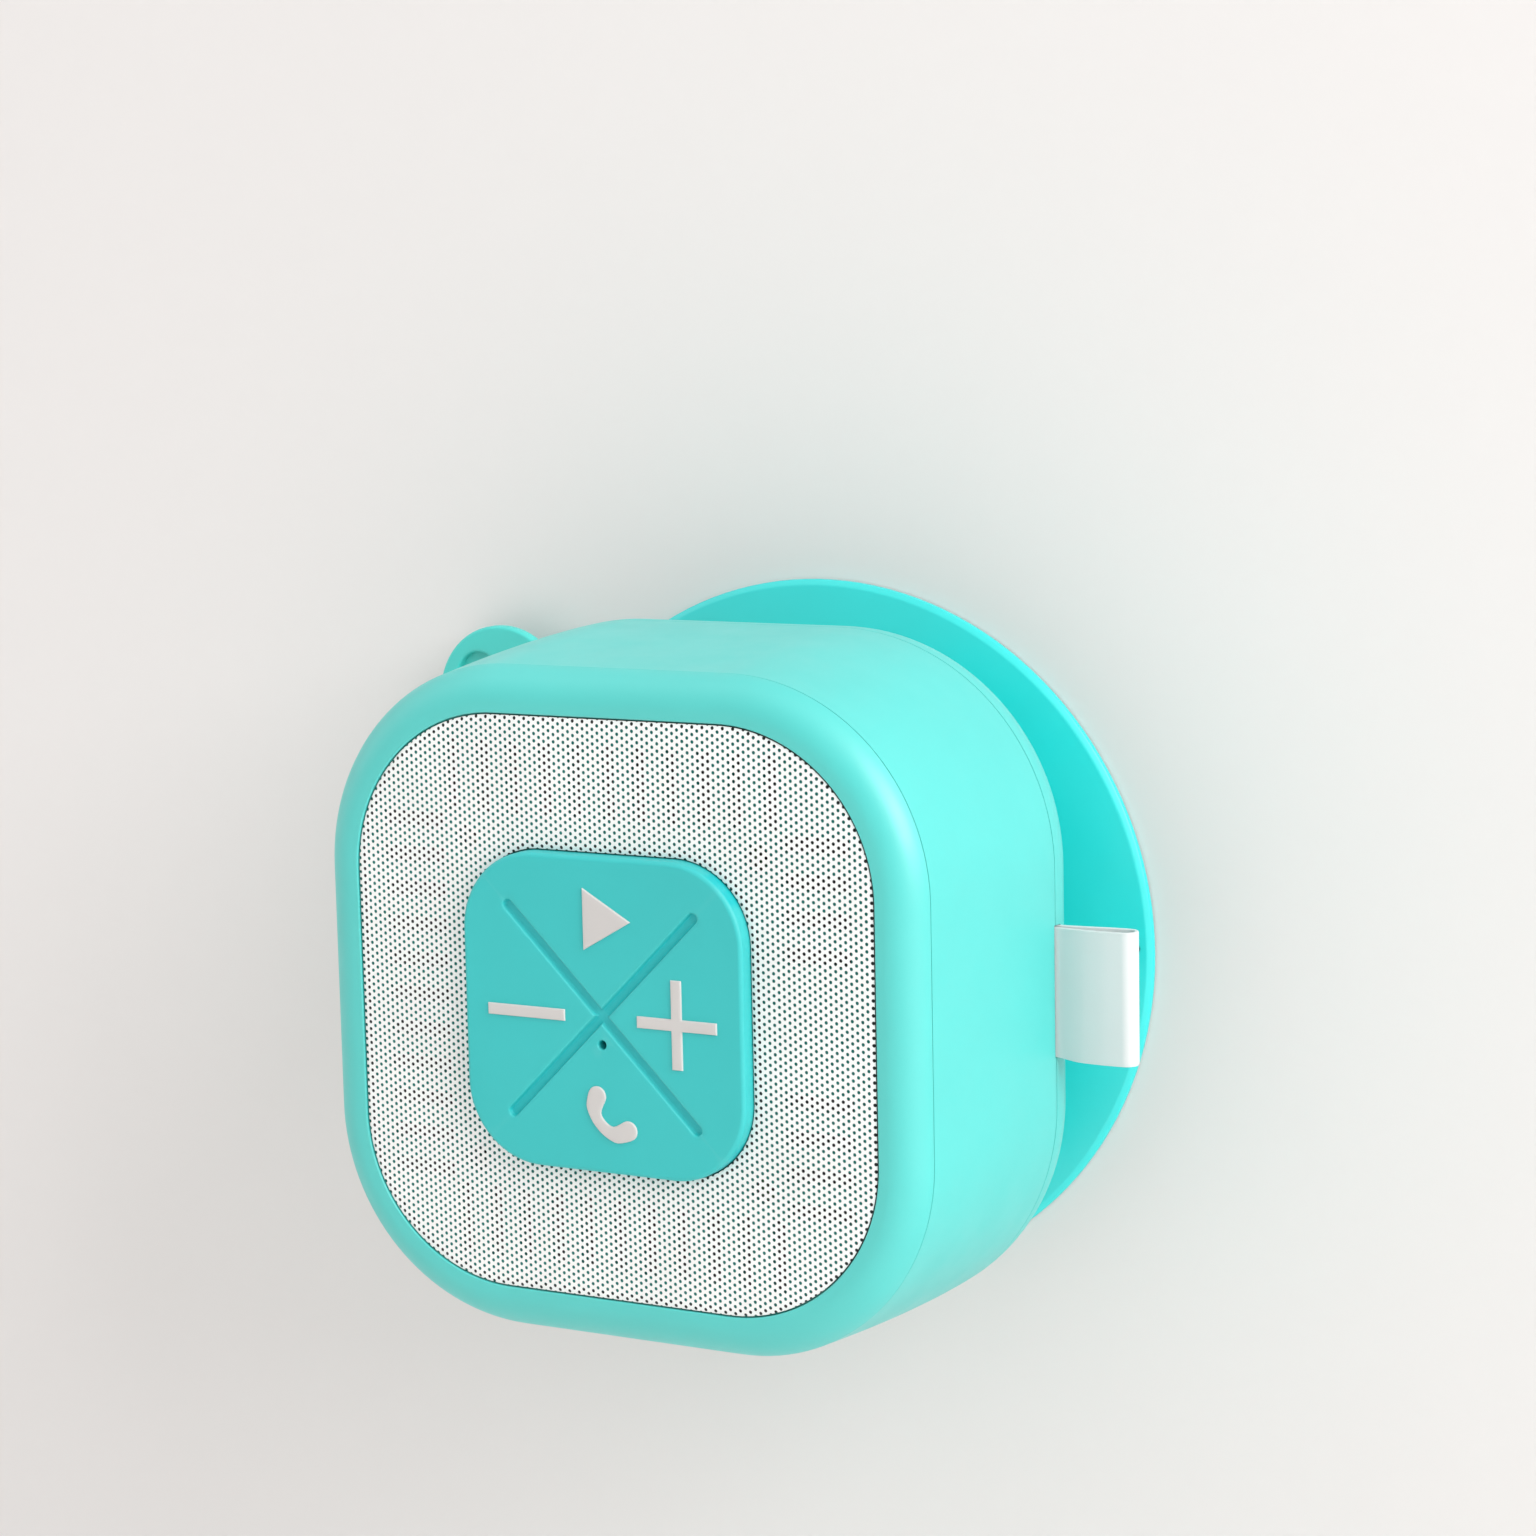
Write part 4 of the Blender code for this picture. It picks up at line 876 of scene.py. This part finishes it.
def make_pad():
    """Four quarters of one rubber skin, parted along the grooves."""
    steps = 24
    outline = rounded_square(PAD_HALF, PAD_CORNER, steps)
    rings = []
    for angle in (14, 30, 47, 66, 90):
        inset = PAD_EDGE * (1 - math.cos(math.radians(angle)))
        rings.append(rounded_square(PAD_HALF - inset, PAD_CORNER - inset, steps))
    for distance, _ in GROOVE[1:]:
        rings += [groove_outline(distance, 1), groove_outline(distance, -1)]
    duct_rings = [circle(MIC_RADIUS + MIC_EDGE * share, 20, 0, MIC_UP) for share in (0.15, 0.5, 1)]

    def open_face(x, up):
        inside = -square_distance(x, up, PAD_HALF, PAD_CORNER)
        return (inside > PAD_EDGE + 0.2 and groove_distance(x, up) > 1.1
                and math.hypot(x, up - MIC_UP) > 1.1)

    loose = grid((-PAD_HALF, -PAD_HALF), (PAD_HALF, PAD_HALF), 0.65, open_face)
    for label, quarter in QUARTERS:
        first = quarter * (steps + 1) + steps // 2
        run = [outline[(first + index) % len(outline)] for index in range(steps + 2)]
        holes = [circle(MIC_RADIUS, 20, 0, MIC_UP)] if label == "call" else []
        inner = rings + (duct_rings if label == "call" else [])
        flat, triangles = triangulate([(0.0, 0.0)] + run, holes, inner, loose)
        name = f"pad_{label}"
        mesh = relief_mesh(name, flat, triangles, pad_rise, lambda x, up: PAD_BACK)
        item = new_piece(name, mesh, "teal_pad")
        shade_from(item, flat, triangles, pad_rise)
        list(bend_points(quarter))
        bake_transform(item)
        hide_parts(f"key_{label}")
        if label == "play":
            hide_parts("keypad_membrane")

    flange = [(2.55, 17.4, 8.2), (2.55, 21.2, 12.2), (3.25, 21.2, 12.2), (3.25, 17.4, 8.2)]
    item = new_piece("pad_flange", loft_mesh("pad_flange", flange, looped=True), "teal_pad")
    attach(item, "housing")


# --- Symbols ---------------------------------------------------------------------------

SYMBOL_RISE = PAD_RISE + 0.25
SYMBOL_BACK = PAD_RISE - 0.3
SYMBOL_EDGE = 0.16
STROKE = 1.4
PLUS_CENTRE = 10.3
PLUS_ARM = 10.7
SIGN_UP = -0.2


def triangle_outline(grow):
    """The play triangle, grown outwards by grow."""
    left, right, half = -2.1, 4.35, 3.72
    middle = 11.6
    slope = half / (right - left)
    lift = grow * (math.hypot(1, slope) + slope)
    ahead = grow * math.hypot(1, slope) / slope
    base = half + lift
    return [(left - grow, middle - base), (right + ahead, middle), (left - grow, middle + base)]


def plus_outline(grow):
    """A plus sign to the right of the middle."""
    return [(PLUS_CENTRE + x, SIGN_UP + up)
            for x, up in cross_outline(PLUS_ARM / 2 + grow, STROKE / 2 + grow)]


def minus_outline(grow):
    """A minus sign to the left of the middle."""
    arm_end = PLUS_ARM / 2 + grow
    thin = STROKE / 2 + grow
    left, right = -PLUS_CENTRE - arm_end, -PLUS_CENTRE + arm_end
    return [(x, SIGN_UP + up) for x, up in ((left, -thin), (right, -thin), (right, thin),
                                            (left, thin))]


def handset_outline(grow):
    """A telephone handset: a bar bent round two circles, with a round lobe at each end."""
    lobe = 1.25 + grow
    outline = arc(3.29, -9.65, 5.74 + grow, 190, 258, 24)
    outline += arc(3.36, -13.55, lobe, -76, 130, 15)
    outline += arc(2.08, -10.74, 2.67 - grow, 258, 197, 10)
    outline += arc(-0.82, -9.68, lobe, -45, 160, 15)
    for _ in range(2):
        outline = averaged(outline[-1:] + outline[:-1], outline, outline[1:] + outline[:1])
    return outline


def divided(outline, longest):
    """An outline with its long edges divided."""
    points = []
    for (ax, ay), (bx, by) in zip(outline, outline[1:] + outline[:1]):
        count = max(1, math.ceil(math.hypot(bx - ax, by - ay) / longest))
        points += run_of((ax, ay), (bx, by), count)
    return points


def make_symbols():
    """The four raised symbols, set into the pad."""
    outlines = {"play": triangle_outline, "volume_down": minus_outline,
                "call": handset_outline, "volume_up": plus_outline}
    for label, quarter in QUARTERS:
        outline_of = outlines[label]
        edge = outline_of(0)
        rings = [divided(outline_of(-SYMBOL_EDGE * share), 0.6) for share in (0.1, 0.3, 0.6, 1)]

        def rise(x, up):
            return SYMBOL_RISE - round_drop(outline_distance(x, up, edge), SYMBOL_EDGE)

        def open_face(x, up):
            return outline_distance(x, up, edge) > SYMBOL_EDGE + 0.15

        loose = grid((-17, -17), (17, 17), 0.6, open_face)
        flat, triangles = triangulate(divided(edge, 0.6), (), rings, loose)
        name = f"mark_{label}"
        mesh = relief_mesh(name, flat, triangles, rise, lambda x, up: SYMBOL_BACK)
        item = new_piece(name, mesh, "pale_symbol", 50)
        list(bend_points(quarter))
        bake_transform(item)
        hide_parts(f"symbol_{label}")


# --- Loop tag --------------------------------------------------------------------------

def swept_band(name, path, half_thick, low, high, edge):
    """A flat band along a path of (x, depth) with round edges; low and high are functions."""
    shape = bmesh.new()
    rings = []
    for index, (x, depth) in enumerate(path):
        before = Vector(path[max(index - 1, 0)])
        after = Vector(path[min(index + 1, len(path) - 1)])
        along = (after - before).normalized()
        side = Vector((along.y, -along.x))
        share = index / (len(path) - 1)
        middle = (low(share) + high(share)) / 2
        half_height = (high(share) - low(share)) / 2
        section = rounded_box(half_thick, half_height, edge, 4)
        rings.append([shape.verts.new((x + side.x * out, middle + up, -(depth + side.y * out)))
                      for out, up in section])
    skin(shape, rings)
    return mesh_from_bmesh(name, shape)


def make_tag():
    """The white band folded into an open loop, its two ends held in the rear seam."""
    thick = 0.5
    turn = 1.3
    fold_x = reach("loop_tag", 0) - turn - thick / 2
    front = [(42.1, -0.5), (43.6, -0.55), (45.4, -0.95), (47.0, -1.22), (49.5, -1.38),
             (fold_x, -turn)]
    back = [(fold_x, turn), (49.5, 1.2), (46.5, 0.75), (43.6, 0.5), (42.1, 0.5)]
    path = eased_path(spread(front, 8)) + arc(fold_x, 0, turn, -90, 90, 16)[1:]
    path += eased_path(spread(back, 8))[1:]
    path = [(x, depth + TAG_DEPTH) for x, depth in path]
    bottom, top = reach("loop_tag", 2, 0), reach("loop_tag", 2, 1)

    def low(share):
        return bottom + 0.32 * (1 - smooth(share / 0.25))

    def high(share):
        return top - 0.1 + 0.1 * smooth(share / 0.45)

    mesh = swept_band("tag_band", path, thick / 2, low, high, 0.14)
    item = new_piece("tag_band", mesh, "white_tag", 50)
    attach(item, "loop_tag")
    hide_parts("loop_tag")


def spread(points, count):
    """A polyline with every piece divided into count."""
    path = []
    for start, end in zip(points, points[1:]):
        path += run_of(start, end, count)
    return path + [points[-1]]


def eased_path(path):
    """A path with its corners softened by averaging; its ends stay."""
    for _ in range(6):
        path = [path[0]] + averaged(path, path[1:], path[2:]) + [path[-1]]
    return path


# --- Underside flap --------------------------------------------------------------------

def make_flap():
    """The rubber flap over the port: rounded corners, a soft edge and a finger scoop."""
    half_x = reach("port_flap", 0)
    front, back = (reach("port_flap", 1, end) - FRONT_Y for end in (0, 1))
    half_depth = (back - front) / 2
    middle = (back + front) / 2
    thick = reach("port_flap", 2, 1) - reach("port_flap", 2, 0)
    corner, edge = 1.4, 0.35
    # Local X is world X, local Y is towards the front and local Z is down
    under = Matrix(((1, 0, 0, 0), (0, -1, 0, middle + FRONT_Y),
                    (0, 0, -1, reach("port_flap", 2, 1)), (0, 0, 0, 1)))

    def outline(inset):
        return rounded_box(half_x - inset, half_depth - inset, corner - inset, 8)

    scoop_x, scoop_up = 4.0, 1.6

    def rise(x, up):
        outside = box_distance(x, up, half_x, half_depth, corner)
        scoop = 1 - math.hypot(x / scoop_x, (up + half_depth) / scoop_up)
        return thick - round_drop(-outside, edge) - 0.5 * smooth(scoop * 1.6)

    rings = [outline(edge * share) for share in (0.08, 0.3, 0.6, 1)]
    loose = grid((-half_x, -half_depth), (half_x, half_depth), 0.35,
                 lambda x, up: abs(x) < half_x - corner and abs(up) < half_depth - edge - 0.1)
    flat, triangles = triangulate(outline(0), (), rings, loose)
    mesh = relief_mesh("flap_cover", flat, triangles, rise, lambda x, up: 0.0, under)
    item = new_piece("flap_cover", mesh, "teal_rubber")
    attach(item, "port_flap")
    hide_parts("port_flap")


# --- Wall side -------------------------------------------------------------------------

CUP_RADIUS = reach("suction_cup", 0)
TAB_ANGLE = math.radians(147.7)
TAB_HALF_WIDTH = 9.7
TAB_CENTRE = 55.4
TAB_HALF_THICK = (reach("pull_tab", 1, 1) - reach("pull_tab", 1, 0)) / 2
TAB_RECESS = (59.8, -0.6)
TAB_RECESS_RADIUS = 3.2
TAB_WEB = 0.6


def make_cup():
    """The rubber cup: a thick neck, a shallow cone thinning to a lip, and a hollow back."""
    outside = [(9.4, 49.4), (9.4, 46.9), (5.4, 46.9), (5.4, 44.2), (11.6, 44.2), (12.4, 44.8),
               (13.2, 48.0), (17.0, 50.1), (45.75, 55.65), (CUP_RADIUS, 56.15),
               (CUP_RADIUS, WALL), (43.0, WALL), (40.0, WALL - 0.9), (9.0, WALL - 0.9),
               (7.0, WALL), (0, WALL)]
    radii = [0, 0, 0.2, 0.2, 0.5, 0.8, 2.0, 5.0, 0.9, 0.3, 0, 0, 2.0, 1.5, 0.6, 0]
    profile = [(0, 49.4)] + filleted(outside, radii, 6)
    mesh = turned_mesh("cup_rubber", profile, 144)
    dimple = rod_mesh("dimple", 44.6, 0.95, 0.4, 54.6, 56.2, 16)
    mesh = carve(mesh, "DIFFERENCE", [dimple])
    item = new_piece("cup_rubber", mesh, "teal_rubber", 40)
    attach(item, "wall_mount")
    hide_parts("suction_cup")


def make_tab():
    """The release tab: a tongue with a round finger recess, grown out of the cup's rim."""
    turn = Matrix.Rotation(TAB_ANGLE, 4, "Z")
    place = FACE @ Matrix.Translation((0, 0, -TAB_DEPTH)) @ turn
    root, neck = 39.6, 45.0
    edge = 0.45
    rim = circle(TAB_RECESS_RADIUS, 32, *TAB_RECESS)

    def outline(inset):
        points = arc(TAB_CENTRE, 0, TAB_HALF_WIDTH - inset, -90, 90, 28)
        lower = [(52.0, 9.6), (48.0, 8.95), (46.0, 8.75), (neck, 8.7), (41.8, 8.4)]
        points += [(x, up - inset) for x, up in lower]
        points += arc(root + 2.2, 6.0, 2.3 - inset, 90, 180, 6)[1:]
        mirrored = [(x, -up) for x, up in points if up > 0 and x < TAB_CENTRE][::-1]
        return points + mirrored

    edge_line = outline(0)

    def drop(x, up):
        return round_drop(max(outline_distance(x, up, edge_line), 0), edge)

    def front(x, up):
        sink = 2.6 * (1 - smooth((x - root) / (neck - root)))
        away = math.hypot(x - TAB_RECESS[0], up - TAB_RECESS[1]) - TAB_RECESS_RADIUS
        floor = TAB_WEB - 2 * TAB_HALF_THICK
        recess = floor if away < -0.02 else -round_drop(max(away, 0), edge)
        return TAB_HALF_THICK - drop(x, up) - sink + recess

    def back(x, up):
        return -TAB_HALF_THICK + drop(x, up) - 2.6 * (1 - smooth((x - 45.2) / 1.6))

    shares = (0.06, 0.2, 0.45, 0.75, 1)
    rings = [outline(edge * share) for share in shares]
    rings += [circle(TAB_RECESS_RADIUS + edge * share, 32, *TAB_RECESS) for share in shares]
    rings += [rim, circle(TAB_RECESS_RADIUS - 0.05, 32, *TAB_RECESS)]

    def open_face(x, up):
        return (inside_outline(x, up, edge_line)
                and outline_distance(x, up, edge_line) > edge + 0.2
                and outline_distance(x, up, rim) > edge + 0.2)

    loose = grid((root, -10), (66, 10), 0.6, open_face)
    flat, triangles = triangulate(edge_line, (), rings, loose)
    mesh = relief_mesh("tab_tongue", flat, triangles, front, back, place)
    item = new_piece("tab_tongue", mesh, "teal_tab", 50)
    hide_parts("pull_tab")
    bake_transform(item)


def inside_outline(x, up, outline):
    """Whether a point lies inside an outline."""
    inside = False
    for (ax, ay), (bx, by) in zip(outline, outline[1:] + outline[:1]):
        if (ay > up) != (by > up) and x < (bx - ax) * (up - ay) / (by - ay) + ax:
            inside = not inside
    return inside


def make_swivel():
    """The stud and the ring that keeps it, turned finely with eased edges."""
    stud = filleted([(0, 36.0), (8.5, 36.0), (8.5, 38.0), (5.0, 38.0), (5.0, 47.2),
                     (9.0, 47.2), (9.0, 49.0), (0, 49.0)], [0, 0.3, 0.3, 0.3, 0.4, 0.3, 0.3, 0])
    item = new_piece("swivel_stud", turned_mesh("swivel_stud", stud, 64), "black_plastic", 40)
    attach(item, "wall_mount")
    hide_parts("cup_stud")
    ring = filleted([(8.0, 38.4), (10.6, 38.4), (10.6, 41.5), (5.5, 41.5), (5.5, 38.4),
                     (7.9, 38.4)], [0, 0.2, 0.4, 0.4, 0.2, 0])
    item = new_piece("swivel_ring", turned_mesh("swivel_ring", ring, 64), "black_plastic", 40)
    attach(item, "housing")
    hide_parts("collar_ring")


# --- Screws ----------------------------------------------------------------------------

def make_screw(name, node, place, head, shank, length, finish):
    """A pan-head screw with a cross recess; its axis is local Z and its head faces +Z."""
    edge = circle(head, 32)
    cross = cross_outline(head * 0.62, head * 0.14)
    deep = cross_outline(head * 0.5, head * 0.07)

    def front(x, up):
        radius = math.hypot(x, up)
        dome = head * 0.42 * (1 - (radius / head) ** 2.4)
        if inside_outline(x, up, cross):
            share = outline_distance(x, up, cross) / (head * 0.07)
            return dome - head * 0.5 * min(share, 1)
        return dome

    def back(x, up):
        return -0.25 if math.hypot(x, up) > shank * 1.02 else -length

    rings = [cross, deep, circle(shank, 20), circle(shank * 1.05, 20)]
    rings += [circle(head * share, 32) for share in (0.97, 0.9, 0.78)]
    flat, triangles = triangulate(edge, (), rings)
    mesh = relief_mesh(name, flat, triangles, front, back, place)
    item = new_piece(name, mesh, finish, 30)
    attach(item, "housing")
    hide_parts(node)


def make_screws():
    """Four screws under the grille, facing the front, and four in the back."""
    turned_back = Matrix.Rotation(math.pi, 4, "Y")
    for index, (side_x, side_z) in enumerate(CORNERS):
        front = FACE @ Matrix.Translation((side_x * FRONT_SCREW, side_z * FRONT_SCREW, -4.4))
        spin = Matrix.Rotation(math.radians(25 + 40 * index), 4, "Z")
        make_screw(f"front_fixing_{index + 1}", f"front_screw_{index + 1}", front @ spin,
                   1.35, 1.0, 7.2, "black_screw")
        back = FACE @ Matrix.Translation((side_x * REAR_SCREW_X, side_z * REAR_SCREW_UP, -41.1))
        back = back @ turned_back
        spin = Matrix.Rotation(math.radians(10 + 50 * index), 4, "Z")
        make_screw(f"rear_fixing_{index + 1}", f"rear_screw_{index + 1}", back @ spin,
                   2.1, 1.0, 10.4, "bright_steel")


# --- Carried-over parts ----------------------------------------------------------------

def dress_nodes():
    """Give every CAD node the worked finish of its material slot."""
    slots = {}
    for entry in frame["record"]["materials"]:
        for node in entry.get("nodes", []):
            slots[node] = entry["slot"]
    for name, item in NODES.items():
        for material_slot in item.material_slots:
            label = material_slot.material.name.split(".")[0]
            finish = "teal_baffle" if name == "front_baffle" else slots.get(name, label)
            material_slot.material = FINISH[finish]


# --- Stage -----------------------------------------------------------------------------

SURROUND_FRONT = 0.52
SURROUND_SIDES = 1.6
WINDOW_PLACE = (1.15, -0.35, 0.65)
WINDOW_SIZE = 0.9
WINDOW_POWER = 16.0


def plain_surface(name, corners, colour, normal):
    """A large plain surface of the stage that disappears when it is seen from behind."""
    mesh = bpy.data.meshes.new(name)
    mesh.from_pydata(corners, [], [(0, 1, 2, 3)])
    item = bpy.data.objects.new(name, mesh)
    bpy.context.scene.collection.objects.link(item)
    material, tree, shader, where = new_material(name, 0.7)
    darker = [channel * 0.985 for channel in colour]
    tree.links.new(tint(tree, remap(tree, noise(tree, where, 6), 0.0, 1.0), colour, darker),
                   shader.inputs["Base Color"])
    seen_from = add_node(tree, "ShaderNodeTexCoord").outputs["Camera"]
    facing = add_node(tree, "ShaderNodeVectorTransform", {"Vector": normal},
                      vector_type="VECTOR", convert_from="WORLD", convert_to="CAMERA")
    side = add_node(tree, "ShaderNodeVectorMath", {0: seen_from, 1: facing.outputs[0]},
                    operation="DOT_PRODUCT")
    hidden = add_node(tree, "ShaderNodeMath", {0: side.outputs["Value"], 1: 0.0},
                      operation="GREATER_THAN")
    clear = add_node(tree, "ShaderNodeBsdfTransparent")
    mix = add_node(tree, "ShaderNodeMixShader", {0: hidden.outputs[0], 1: shader.outputs[0],
                                                 2: clear.outputs[0]})
    output = tree.nodes["Material Output"]
    tree.links.new(mix.outputs[0], output.inputs["Surface"])
    mesh.materials.append(material)


def make_stage():
    """A pale floor and a pale backdrop, which stands for the wall behind the cup."""
    low, far, behind = -0.13, 3.0, 0.0003
    plain_surface("floor", [(-far, -far, low), (far, -far, low), (far, far, low),
                            (-far, far, low)], (0.80, 0.78, 0.76), (0, 0, 1))
    plain_surface("backdrop", [(-far, behind, low), (far, behind, low), (far, behind, far),
                               (-far, behind, far)], (0.77, 0.745, 0.74), (0, -1, 0))


def make_light():
    """A surround that is brighter at its sides than in front, and a large soft window."""
    world = bpy.data.worlds.new("surround")
    world.use_nodes = True
    bpy.context.scene.world = world
    tree = world.node_tree
    facing = add_node(tree, "ShaderNodeTexCoord").outputs["Generated"]
    ahead = add_node(tree, "ShaderNodeSeparateXYZ", {0: facing}).outputs["Y"]
    ahead = add_node(tree, "ShaderNodeMath", {0: ahead}, operation="ABSOLUTE").outputs[0]
    strength = remap(tree, ahead, SURROUND_SIDES, SURROUND_FRONT, 0.0, 1.0)
    background = tree.nodes["Background"]
    background.inputs["Color"].default_value = (1.0, 1.0, 0.99, 1)
    tree.links.new(strength, background.inputs["Strength"])
    lamp = bpy.data.lights.new("soft_window", "AREA")
    lamp.shape = "RECTANGLE"
    lamp.size = WINDOW_SIZE
    lamp.size_y = WINDOW_SIZE
    lamp.energy = WINDOW_POWER
    item = bpy.data.objects.new("soft_window", lamp)
    item.location = WINDOW_PLACE
    item.rotation_euler = Vector(WINDOW_PLACE).to_track_quat("Z", "Y").to_euler()
    item.visible_camera = False
    bpy.context.scene.collection.objects.link(item)


def make_camera():
    """The camera of the product view: slightly above and to the right of the front."""
    azimuth, elevation, roll = (math.radians(angle) for angle in (28.28, 8.345, -1.214))
    back = Vector((math.sin(azimuth) * math.cos(elevation),
                   -math.cos(azimuth) * math.cos(elevation), math.sin(elevation)))
    right = Vector((math.cos(azimuth), math.sin(azimuth), 0))
    above = back.cross(right)
    across = right * math.cos(roll) + above * math.sin(roll)
    upward = above * math.cos(roll) - right * math.sin(roll)
    turn = Matrix((across, upward, back)).transposed()
    distance = 12.168 * GRILLE_HALF * MM
    target = (right * 0.5541 + above * 0.8177) * GRILLE_HALF * MM
    data = bpy.data.cameras.new("camera")
    data.sensor_width = 36
    data.lens = 84.46
    item = bpy.data.objects.new("camera", data)
    bpy.context.scene.collection.objects.link(item)
    item.location = Vector((0, FRONT_Y * MM, 0)) + back * distance + target
    item.rotation_euler = turn.to_euler()
    data.clip_start, data.clip_end = 0.01, 20
    bpy.context.scene.camera = item
    bpy.context.scene.view_settings.view_transform = "Standard"


make_bezel()
make_sleeve()
make_cover()
make_grille()
make_pad()
make_symbols()
make_tag()
make_flap()
make_cup()
make_tab()
make_swivel()
make_screws()
dress_nodes()
make_stage()
make_light()
make_camera()
